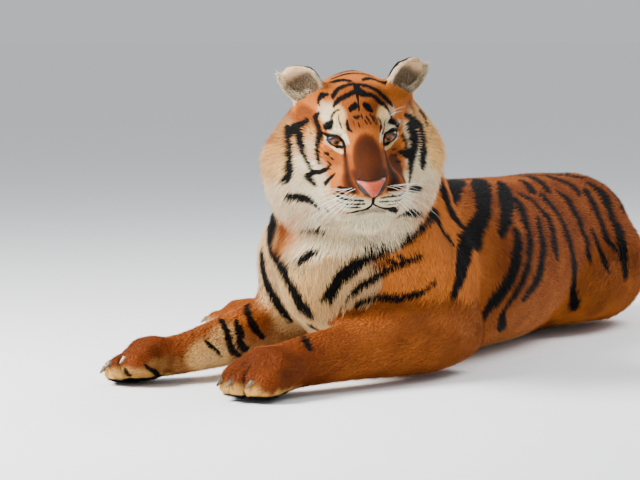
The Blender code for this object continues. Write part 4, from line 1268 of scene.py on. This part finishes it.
def build_eyes():
    """Each eyeball: rings round the line of sight, on a ball that swells by 7% over the iris."""
    rows, columns = 64, 72
    off = np.linspace(0, math.pi, rows)[:, None]
    turn = np.linspace(0, math.tau, columns, endpoint=False)
    for side, name in ((-1, "right"), (1, "left")):
        radius = EYE_RADIUS * (0.985 + 0.07 * np.exp(-((off / 0.5) ** 2)))
        local = np.stack((radius * np.sin(off) * np.cos(turn), -radius * np.cos(off) + 0 * turn,
                          radius * np.sin(off) * np.sin(turn)), axis=-1).reshape(-1, 3)
        local = local @ np.array(Matrix.Rotation(GAZE_DOWN, 3, "X")).T
        points = from_head(local + EYE_PLACE * (side, 1, 1))
        faces = grid_faces(rows, columns, True)[:, ::-1]
        made = mesh_object("eyeball_" + name, points, faces, eye_material())
        attribute(made.data, "off", np.repeat(off.ravel(), columns))
        attribute(made.data, "turn", np.tile(turn, rows))
        outward(made.data)
        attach(made, "root")
        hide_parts("eye_" + name)


def build_lids(material):
    """Each eye's wet rims: a closed tube along the lids' lines on a ball just over the eye, thickest
    above."""
    steps, around = 96, 10
    turn = np.linspace(0, math.tau, steps, endpoint=False)
    phase = np.linspace(0, math.tau, around, endpoint=False)[:, None]
    for side, name in ((-1, "right"), (1, "left")):
        across = np.cos(turn)
        high, low = lid_line(across)
        up = np.where(turn < math.pi, high, low)
        x = across * LID_HALF * side
        ball = EYE_RADIUS + RIM_STANDS
        y = -np.sqrt(np.maximum(ball**2 - x**2 - up**2, 0.05))
        path = np.column_stack((x, y, up))
        out = unit(path)
        along = unit(np.roll(path, -1, axis=0) - np.roll(path, 1, axis=0))
        beside = np.cross(along, out)
        thick = np.where(turn < math.pi, *RIM_THICK) + 0.05 * smooth(-0.6, -1, across)
        tube = path + thick[:, None] * (np.cos(phase)[..., None] * out + np.sin(phase)[..., None] * beside)
        points = from_head(tube.transpose(1, 0, 2).reshape(-1, 3) + EYE_PLACE * (side, 1, 1))
        faces = grid_faces(steps, around, True)
        last = grid_faces(2, around, True)
        last = np.where(last < around, last + (steps - 1) * around, last - around)
        made = mesh_object("lids_" + name, points, np.vstack((faces, last)), material)
        outward(made.data)
        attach(made, "root")


def strands(starts, ways, lengths, sag, thick):
    """Tapered hairs: along each, the path leaves its start in its own way and bends by the sag times
    the square of the run, and the radius falls from its thickness to a twentieth."""
    rows, sides = 11, 5
    run = np.linspace(0, 1, rows)[None, :, None]
    path = starts[:, None] + ways[:, None] * lengths[:, None, None] * run + sag[:, None] * run**2
    along = unit(np.gradient(path, axis=1))
    beside = unit(np.cross(along, (0.3, 0.2, 1)))
    over = np.cross(beside, along)
    phase = np.linspace(0, math.tau, sides, endpoint=False)
    radius = thick[:, None, None, None] * (1 - 0.95 * run[..., None] ** 1.3)
    rings = path[:, :, None] + radius * (np.cos(phase)[:, None] * beside[:, :, None]
                                         + np.sin(phase)[:, None] * over[:, :, None])
    points = rings.reshape(-1, 3)
    tube = grid_faces(rows, sides, True)
    caps = [tuple(range(sides))[::-1], tuple(range((rows - 1) * sides, rows * sides))]
    faces = []
    for number in range(len(starts)):
        offset = number * rows * sides
        faces += (tube + offset).tolist()
        faces += [[corner + offset for corner in cap] for cap in caps]
    return points, faces, np.tile(np.repeat(run.ravel(), sides), len(starts))


WHISKER_ROWS, WHISKERS_IN_ROW = (-5.6, -6.7, -7.8, -8.8), 5  # heights in cm
BROW_HAIRS = 4
WHISKER_THICK, BROW_HAIR_THICK = 0.065, 0.035  # cm, at the root


def build_whiskers(skin, settings):
    """Whiskers in rows on both pads, longest at the back, and a few over each eye."""
    local = in_head(places(skin.data))
    rng = np.random.default_rng(settings.seed + 50)
    starts, ways, lengths, thick = [], [], [], []

    def hair(across, height, hindmost, way, length, width):
        """A hair from the skin's nearest point to a place seen from the front."""
        gap = (local[:, 0] - across) ** 2 + (local[:, 2] - height) ** 2 + (local[:, 1] > hindmost) * 99
        starts.append(local[np.argmin(gap)])
        ways.append(way)
        lengths.append(length)
        thick.append(width)

    for side in (-1, 1):
        for row, height in enumerate(WHISKER_ROWS):
            for place in range(WHISKERS_IN_ROW):
                length = (5.4 + 1.05 * place - 0.5 * abs(row - 1.2)) * rng.uniform(0.8, 1.15)
                way = (side * (0.9 + 0.05 * place), -0.3 + 0.14 * place, -0.02 - 0.26 * row)
                hair(side * (3.3 + 0.75 * place + 0.2 * row), height - 0.12 * place, -5, way, length,
                     WHISKER_THICK)
        for place in range(BROW_HAIRS):
            hair(side * (4.6 + 0.8 * place), 3.6 + 0.3 * place, 3, (side * (0.25 + 0.2 * place), -0.5, 0.85),
                 rng.uniform(4, 6), BROW_HAIR_THICK)
    starts, ways = np.array(starts), unit(np.array(ways) + rng.normal(0, 0.06, (len(ways), 3)))
    lengths = np.array(lengths) * settings.whiskers
    sag = np.column_stack((0 * lengths, 0.16 * lengths, -0.34 * lengths))
    points, faces, run = strands(starts - ways * 0.3, ways, lengths, sag, np.array(thick))
    made = mesh_object("whiskers", from_head(points), faces, whisker_material())
    attribute(made.data, "tip", run)
    outward(made.data)
    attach(made, "root")


EAR_HAIRS = 2200
EAR_HAIR_WIDE = 0.045  # cm, half the width of a hair's root
EAR_HALF = (4.9, 5.6)  # cm, half the width and half the height of the ear's edge


def build_ear_hair(skin, settings, material):
    """Long pale hairs across each ear's hollow: they grow from its inner and lower edge and lean
    over the hollow to the outside and up."""
    corners, places_flat, _ = skin_triangles(skin.data)
    ear_faces = of_kind(attributes(skin.data, "owner")[0].astype(int), "ear")[corners[:, 0]]
    ear_skin = in_head(places(skin.data))[corners[ear_faces, 0]]
    ear_flat = places_flat[ear_faces, 0]
    for side, name in ((-1, "right"), (1, "left")):
        rng = np.random.default_rng(settings.seed + 60 + side)
        turn = rng.uniform(math.radians(120), math.radians(300), EAR_HAIRS)
        ring = rng.uniform(0.55, 0.95, EAR_HAIRS)
        x = -side * ring * EAR_HALF[0] * np.cos(turn)
        z = EAR_MIDDLE + ring * EAR_HALF[1] * np.sin(turn)
        y = 0.2 + 0.9 * (1 - ring) + rng.uniform(-0.2, 0.2, EAR_HAIRS)
        starts = np.column_stack((x, y, z))
        ways = np.column_stack((-x * 0.16 + side * 0.25, -0.55 + 0 * x, 0.75 + 0.05 * (EAR_MIDDLE - z)))
        ways = unit(ways + rng.normal(0, 0.16, ways.shape))
        lengths = rng.uniform(1.0, 2.6, EAR_HAIRS) * (1.1 - 0.35 * ring)
        keep = z > -0.5
        starts, ways, lengths = starts[keep], ways[keep], lengths[keep]
        beside = unit(np.cross(ways, (0, -1, 0))) * EAR_HAIR_WIDE
        rows = (starts - beside, starts + beside, starts + (0, -0.05, 0), starts + ways * lengths[:, None])
        points = np.stack(rows, axis=1)
        local = moved(points.reshape(-1, 3), ear_frame(side))
        gaps = ((local[::4, None] - ear_skin) ** 2).sum(axis=2)
        found = {
            "black": (rng.random(len(lengths)) < 0.12) * 0.7,
            "pale": rng.uniform(0.7, 1, len(lengths)),
            "deep": 0 * lengths,
            "flat": ear_flat[np.argmin(gaps, axis=1)],
        }
        world = from_head(local).reshape(points.shape)
        made = coat_mesh("ear_hair_" + name, world, False, found, rng, material)
        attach(made, "root")


def linear(colour):
    """A colour as it looks on a screen, as the light it stands for."""
    return (*[c / 12.92 if c <= 0.04045 else ((c + 0.055) / 1.055) ** 2.4 for c in colour[:3]], 1)


def feed(tree, node, inputs):
    """Sets each input of a node, by its name or number, to a value, or links it to a socket."""
    for key, value in inputs.items():
        if isinstance(value, bpy.types.NodeSocket):
            tree.links.new(value, node.inputs[key])
        else:
            node.inputs[key].default_value = value


def wired(tree, kind, settings=None, **inputs):
    """A new node with its settings and inputs."""
    made = tree.nodes.new(kind)
    for name, value in (settings or {}).items():
        setattr(made, name, value)
    feed(tree, made, {name.replace("_", " "): value for name, value in inputs.items()})
    return made


def sums(tree, operation, *values):
    """The result of a Math node."""
    made = wired(tree, "ShaderNodeMath", {"operation": operation})
    feed(tree, made, dict(enumerate(values)))
    return made.outputs[0]


def blended(tree, share, a, b, mode="MIX"):
    """A Mix node's colour: a, turning into b by the share."""
    made = wired(tree, "ShaderNodeMix", {"data_type": "RGBA", "blend_type": mode})
    feed(tree, made, {0: share, 6: a, 7: b})
    return made.outputs[2]


def new_material(name):
    """A material with only a shader, and its tree and shader."""
    material = bpy.data.materials.new(name)
    material.use_nodes = True
    return material, material.node_tree, material.node_tree.nodes["Principled BSDF"]


def noise(tree, scale, detail=3, stretch=None):
    """A noise pattern fixed to the object, stretched if asked."""
    place = tree.nodes.new("ShaderNodeTexCoord").outputs["Object"]
    if stretch:
        place = wired(tree, "ShaderNodeMapping", Vector=place, Scale=stretch).outputs[0]
    return wired(tree, "ShaderNodeTexNoise", Vector=place, Scale=scale, Detail=detail).outputs[0]


def value_of(tree, name):
    """The value of one of the mesh's attributes."""
    return wired(tree, "ShaderNodeAttribute", {"attribute_name": name}).outputs["Fac"]


# The inputs of the coat's colour: the settings' colours, and the masks and measures.
COLOURS = ("Orange", "Deep", "Pale", "Tan", "Umber", "Black")
MASKS = ("Black", "Pale", "Deep", "Tip", "Shade", "Noise", "Patches")


def marking_group():
    """The coat's colour and roughness.  Orange turns to deep and on to umber, then to pale or, where
    it is deep, to tan, and last to black, each by its mask.  The edges of the black are broken by
    fine noise, painted shade darkens the hair towards its root so that it is lighter towards its tip,
    and each tuft has its own tone at random."""
    found = bpy.data.node_groups.get("tiger markings")
    if found:
        return found
    group = bpy.data.node_groups.new("tiger markings", "ShaderNodeTree")
    sockets = [(name + " colour", "Color") for name in COLOURS] + [(name, "Float") for name in MASKS]
    for name, kind in sockets:
        group.interface.new_socket(name, in_out="INPUT", socket_type="NodeSocket" + kind)
    group.interface.new_socket("Colour", in_out="OUTPUT", socket_type="NodeSocketColor")
    group.interface.new_socket("Roughness", in_out="OUTPUT", socket_type="NodeSocketFloat")
    put_in = group.nodes.new("NodeGroupInput").outputs
    out = group.nodes.new("NodeGroupOutput")

    def edged(name, spread):
        """The mask with a sharper edge, which noise moves by the spread."""
        rough = sums(group, "MULTIPLY_ADD", put_in["Noise"], spread, -spread / 2)
        raised = sums(group, "ADD", put_in[name], rough)
        step = {"interpolation_type": "SMOOTHSTEP"}
        return wired(group, "ShaderNodeMapRange", step, Value=raised, From_Min=0.25, From_Max=0.75).outputs[0]

    orange = blended(group, put_in["Deep"], put_in["Orange colour"], put_in["Deep colour"])
    # Deep beyond 1 turns to umber: the dark brown beside the bridge of the nose, partly painted shade.
    orange = blended(group, sums(group, "SUBTRACT", put_in["Deep"], 1), orange, put_in["Umber colour"])
    patches = sums(group, "MULTIPLY_ADD", put_in["Patches"], 0.7, 0.65)
    orange = blended(group, 1, orange, patches, "MULTIPLY")
    cream = blended(group, put_in["Deep"], put_in["Pale colour"], put_in["Tan colour"])
    pale = blended(group, put_in["Pale"], orange, cream)
    black = blended(group, edged("Black", 0.5), pale, put_in["Black colour"])
    # Painted shade: the hair is darker at its root, where the coat shades it, and lighter at its tip; each
    # tuft's tone is added at random.
    light = sums(group, "MULTIPLY_ADD", put_in["Tip"], 0.45, 0.72)
    light = sums(group, "MULTIPLY_ADD", put_in["Shade"], 0.12, light)
    light = wired(group, "ShaderNodeClamp", Value=light, Min=0.35, Max=1.6).outputs[0]
    colour = blended(group, 1, black, light, "MULTIPLY")
    group.links.new(colour, out.inputs["Colour"])
    rough = sums(group, "MULTIPLY_ADD", put_in["Noise"], 0.25, 0.5)
    group.links.new(rough, out.inputs["Roughness"])
    return group


def roughened(tree, shader, height, strength, distance):
    """Bumps on a finish, by the height given."""
    bump = wired(tree, "ShaderNodeBump", Strength=strength, Distance=distance, Height=height)
    feed(tree, shader, {"Normal": bump.outputs[0]})


def coat_material(settings, which):
    """Fur: the markings on the skin or on the tufts."""
    material, tree, shader = new_material("tiger " + which)
    group = tree.nodes.new("ShaderNodeGroup")
    group.node_tree = marking_group()
    feed(tree, group, {name + " colour": linear(getattr(settings, name.lower())) for name in COLOURS})
    for name in ("Black", "Pale", "Deep"):
        feed(tree, group, {name: value_of(tree, name.lower())})
    fine = noise(tree, 420, 4)
    feed(tree, group, {"Noise": fine, "Patches": noise(tree, 14, 3)})
    if which == "coat":
        feed(tree, group, {"Tip": value_of(tree, "tip"), "Shade": value_of(tree, "shade")})
    else:
        # The skin under the coat takes the hair roots' painted shade.
        feed(tree, group, {"Tip": 0.1})
        roughened(tree, shader, fine, 0.6, 2 * MM)
    finish = {"Base Color": group.outputs["Colour"], "Roughness": group.outputs["Roughness"]}
    feed(tree, shader, {**finish, "Specular IOR Level": 0.12})
    return material


def ramp(tree, value, stops):
    """A colour ramp through (place, colour) stops."""
    made = wired(tree, "ShaderNodeValToRGB", Fac=value)
    elements = made.color_ramp.elements
    while len(elements) < len(stops):
        elements.new(0.5)
    for element, (place, colour) in zip(elements, stops):
        element.position = place
        element.color = linear(colour)
    return made.outputs[0]


def eye_material():
    """A wet eye: a round pupil, an amber iris with fine spokes, a dark rim and a dim white."""
    found = bpy.data.materials.get("tiger eye")
    if found:
        return found
    material, tree, shader = new_material("tiger eye")
    turn = value_of(tree, "turn")
    place = wired(tree, "ShaderNodeCombineXYZ", X=sums(tree, "MULTIPLY", turn, 14),
                  Y=sums(tree, "MULTIPLY", value_of(tree, "off"), 3)).outputs[0]
    spokes = wired(tree, "ShaderNodeTexNoise", {"noise_dimensions": "2D"}, Vector=place, Scale=1.0, Detail=4)
    spokes = spokes.outputs[0]
    iris = tuple(bpy.context.scene.tiger_eyes.iris)
    dim, soft = (tuple(c * share for c in iris) for share in (0.45, 0.8))
    colour = ramp(tree, value_of(tree, "off"), (
        (0.0, (0.005, 0.004, 0.004)), (0.17, (0.006, 0.005, 0.004)), (0.195, dim), (0.32, iris),
        (0.5, soft), (0.58, (0.10, 0.05, 0.02)), (0.64, (0.03, 0.02, 0.015)), (0.9, (0.06, 0.04, 0.03))))
    spoked = blended(tree, 0.45, colour, blended(tree, 1, colour, spokes, "MULTIPLY"))
    bright = blended(tree, 1, spoked, (1.9, 1.9, 1.9, 1), "MULTIPLY")
    feed(tree, shader, {
        "Base Color": blended(tree, 0.6, spoked, bright),
        "Roughness": sums(tree, "MULTIPLY_ADD", noise(tree, 90), 0.05, 0.03),
        "Coat Weight": 0.35,
        "Coat Roughness": 0.02,
        "Specular IOR Level": 0.2,
    })
    roughened(tree, shader, spokes, 0.05, 0.4 * MM)
    return material


def plain_material(name, low, high, roughness, scale, bump_height, stretch=None, pattern=None):
    """A finish between two colours by noise, with its roughness round a middle and a fine bump."""
    found = bpy.data.materials.get(name)
    if found:
        return found
    material, tree, shader = new_material(name)
    grain = noise(tree, scale, 4, stretch)
    colour = ramp(tree, grain, ((0.3, low), (0.7, high)))
    if pattern:
        colour = blended(tree, value_of(tree, pattern[0]), colour, linear(pattern[1]))
    rough = sums(tree, "MULTIPLY_ADD", grain, 0.24, roughness - 0.12)
    feed(tree, shader, {"Base Color": colour, "Roughness": rough})
    roughened(tree, shader, grain, 0.5, bump_height)
    return material


def nose_material():
    """Pink leather, with painted shade where it is pressed in at the nostrils and creases, and
    darker along its edge.
    """
    return plain_material("nose leather", (0.64, 0.24, 0.12), (0.78, 0.33, 0.19), 0.45, 500, 0.6 * MM,
                          pattern=("pit", (0.02, 0.012, 0.012)))


def whisker_material():
    """White hair."""
    return plain_material("whisker", (0.86, 0.83, 0.76), (0.97, 0.95, 0.9), 0.4, 60, 0.1 * MM)


def lid_material():
    """The black wet skin of the lids' rims."""
    return plain_material("wet lid", (0.02, 0.014, 0.012), (0.06, 0.04, 0.035), 0.32, 700, 0.4 * MM)


def claw_material():
    """Horn, grained along the claw."""
    return plain_material("claw horn", (0.22, 0.17, 0.13), (0.58, 0.50, 0.40), 0.35, 160, 0.3 * MM,
                          stretch=(1, 1, 0.3))


FLOOR_RADIUS, FLOOR_SIDES = 120, 96  # metres, and corners of its rim
SKY = (0.90, 0.92, 0.94)

# Each light: degrees to the tiger's left from straight ahead, degrees up, metres from the chest,
# share of the key light's power, and width in metres.
LIGHTS = {"key": (-38, 38, 3.6, 1, 1.5), "rim": (150, 45, 4.0, 0.35, 2.0)}

CAMERA_TURN, CAMERA_RISE, CAMERA_DISTANCE = 30, 4, 5.2  # degrees, as a light's, and metres to the eyes
EYES_RIGHT, EYES_UP = 0.0884, 0.1305  # metres from the middle of the view to the eyes
CAMERA_LENS, CAMERA_SENSOR = 138.94, 36  # mm
CAMERA_SHIFT = -0.0625  # of the picture's width


def outlook(azimuth, elevation):
    """The direction from the tiger to a place this many degrees round to its left and up."""
    turn, rise = math.radians(azimuth), math.radians(elevation)
    return Vector((math.sin(turn) * math.cos(rise), -math.cos(turn) * math.cos(rise), math.sin(rise)))


def build_stage(settings):
    """A pale floor and sky, a large soft key light from ahead and to the tiger's right, a weaker one
    from behind, and the camera."""
    turn = np.linspace(0, math.tau, FLOOR_SIDES, endpoint=False)
    rim = np.column_stack((np.cos(turn), np.sin(turn), 0 * turn)) * FLOOR_RADIUS
    floor = mesh_object("floor", rim, [tuple(range(FLOOR_SIDES))], floor_material(settings))
    world = bpy.data.worlds.new("studio")
    bpy.context.scene.world = world
    world.use_nodes = True
    feed(world.node_tree, world.node_tree.nodes["Background"], {0: linear(SKY), 1: settings.fill})
    aim = Vector(middle("chest"))
    for name, (azimuth, elevation, distance, share, width) in LIGHTS.items():
        light = bpy.data.lights.new(name, "AREA")
        light.energy, light.size = settings.key * share, width
        lamp = new_object(name, light)
        back = outlook(azimuth, elevation)
        lamp.location = aim + back * distance
        lamp.rotation_euler = back.to_track_quat("Z", "Y").to_euler()
    build_camera()


def build_camera():
    """The camera: a long lens a little above the level of the eyes, ahead and to the tiger's left."""
    camera = bpy.data.cameras.new("camera")
    back = outlook(CAMERA_TURN, CAMERA_RISE)
    right = outlook(CAMERA_TURN + 90, 0)
    aim = HEAD.to_translation() - right * EYES_RIGHT - back.cross(right) * EYES_UP
    made = new_object("camera", camera)
    made.location = aim + back * CAMERA_DISTANCE
    made.rotation_euler = back.to_track_quat("Z", "Y").to_euler()
    camera.lens, camera.sensor_width, camera.shift_y = CAMERA_LENS, CAMERA_SENSOR, CAMERA_SHIFT
    bpy.context.scene.camera = made


def floor_material(settings):
    """Pale matt board with a faint grain."""
    high = tuple(settings.floor)
    return plain_material("pale floor", tuple(c * 0.99 for c in high), high, 0.7, 30, 0.2 * MM)


def colour(name, text, default):
    """A colour that the panel shows."""
    return FloatVectorProperty(name=name, description=text, subtype="COLOR_GAMMA", default=default)


class CoatSettings(bpy.types.PropertyGroup):
    """Sizes and colours of the coat."""

    length: FloatProperty(name="Hair length", description="Times the natural length", default=1.0,
                          min=0.3, max=1.5)
    fullness: FloatProperty(name="Fullness", description="Times the natural number of tufts", default=1.0,
                            min=0.1, max=1.2)
    whiskers: FloatProperty(name="Whisker length", description="Times the natural length", default=1.0)
    seed: IntProperty(name="Seed", description="Start of the random draws", default=7)
    orange: colour("Orange", "Main colour of the coat", (0.84, 0.48, 0.18))
    deep: colour("Deep orange", "Colour of the flanks and brow", (0.50, 0.23, 0.06))
    pale: colour("Pale", "Colour of the cheeks, chin and chest", (0.93, 0.88, 0.73))
    tan: colour("Tan", "Colour of the edges of the ruff and the breast", (0.99, 0.77, 0.41))
    # Umber colours the dark brown beside the bridge of the nose, partly painted shade.
    umber: colour("Umber", "Colour of the sides of the nose's bridge", (0.20, 0.10, 0.04))
    black: colour("Black", "Colour of the stripes", (0.03, 0.022, 0.02))


class EyeSettings(bpy.types.PropertyGroup):
    """Colour of the eyes."""

    iris: colour("Iris", "Colour of the iris", (0.50, 0.26, 0.09))


class StageSettings(bpy.types.PropertyGroup):
    """Floor and light."""

    floor: colour("Floor", "Colour of the floor", (0.99, 0.99, 0.99))
    key: FloatProperty(name="Key light", description="Power of the key light", default=400, subtype="POWER")
    fill: FloatProperty(name="Fill", description="Strength of the light from all round", default=0.74)


class TIGER_OT_skin(bpy.types.Operator):
    """One skin over all the flesh, sunk by the coat's depth, with the markings"""

    bl_idname = "tiger.skin"
    bl_label = "Skin"

    def execute(self, context):
        skin = build_skin()
        skin.data.materials.append(coat_material(context.scene.tiger_coat, "skin"))
        return {"FINISHED"}


class TIGER_OT_coat(bpy.types.Operator):
    """The coat's tufts, region by region, and the long hair in the ears"""

    bl_idname = "tiger.coat"
    bl_label = "Coat"

    def execute(self, context):
        skin = bpy.data.objects["skin"]
        unwrapped(skin)
        build_coat(skin, context.scene.tiger_coat)
        build_ear_hair(skin, context.scene.tiger_coat, bpy.data.materials["tiger coat"])
        return {"FINISHED"}


class TIGER_OT_eyes(bpy.types.Operator):
    """Both eyeballs and their lids' wet rims"""

    bl_idname = "tiger.eyes"
    bl_label = "Eyes"

    def execute(self, context):
        build_eyes()
        build_lids(lid_material())
        return {"FINISHED"}


class TIGER_OT_nose(bpy.types.Operator):
    """The nose leather with its nostrils"""

    bl_idname = "tiger.nose"
    bl_label = "Nose"

    def execute(self, context):
        build_nose(bpy.data.objects["skin"])
        return {"FINISHED"}


class TIGER_OT_whiskers(bpy.types.Operator):
    """Whiskers on the muzzle and over the eyes"""

    bl_idname = "tiger.whiskers"
    bl_label = "Whiskers"

    def execute(self, context):
        build_whiskers(bpy.data.objects["skin"], context.scene.tiger_coat)
        return {"FINISHED"}


class TIGER_OT_claws(bpy.types.Operator):
    """Horn on the claws"""

    bl_idname = "tiger.claws"
    bl_label = "Claws"

    def execute(self, context):
        material = claw_material()
        for name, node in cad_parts.items():
            if "claw" in name:
                node.data.materials.clear()
                node.data.materials.append(material)
        return {"FINISHED"}


class TIGER_OT_stage(bpy.types.Operator):
    """Floor, lights and camera"""

    bl_idname = "tiger.stage"
    bl_label = "Stage"

    def execute(self, context):
        build_stage(context.scene.tiger_stage)
        return {"FINISHED"}


class TIGER_PT_pieces(bpy.types.Panel):
    """Lists the tiger's pieces and settings"""

    bl_label = "Amur tiger"
    bl_idname = "TIGER_PT_pieces"
    bl_space_type = "VIEW_3D"
    bl_region_type = "UI"
    bl_category = "Tiger"

    def draw(self, context):
        for settings in (context.scene.tiger_coat, context.scene.tiger_eyes, context.scene.tiger_stage):
            box = self.layout.box()
            for name in settings.__annotations__:
                box.prop(settings, name)
        for piece in PIECES:
            self.layout.operator(piece.bl_idname)


SETTINGS = {"tiger_coat": CoatSettings, "tiger_eyes": EyeSettings, "tiger_stage": StageSettings}
PIECES = (TIGER_OT_skin, TIGER_OT_coat, TIGER_OT_eyes, TIGER_OT_nose, TIGER_OT_whiskers, TIGER_OT_claws,
          TIGER_OT_stage)


def register():
    """Registers the settings, the operators and the panel."""
    for name, settings in SETTINGS.items():
        bpy.utils.register_class(settings)
        setattr(bpy.types.Scene, name, PointerProperty(type=settings))
    for piece in (*PIECES, TIGER_PT_pieces):
        bpy.utils.register_class(piece)


def unregister():
    """Takes back what register did."""
    for piece in (TIGER_PT_pieces, *reversed(PIECES)):
        bpy.utils.unregister_class(piece)
    for name, settings in reversed(SETTINGS.items()):
        delattr(bpy.types.Scene, name)
        bpy.utils.unregister_class(settings)


def main():
    """Builds every piece in order."""
    register()
    for piece in PIECES:
        getattr(bpy.ops.tiger, piece.bl_idname.split(".")[1])()


if __name__ == "__main__":
    main()
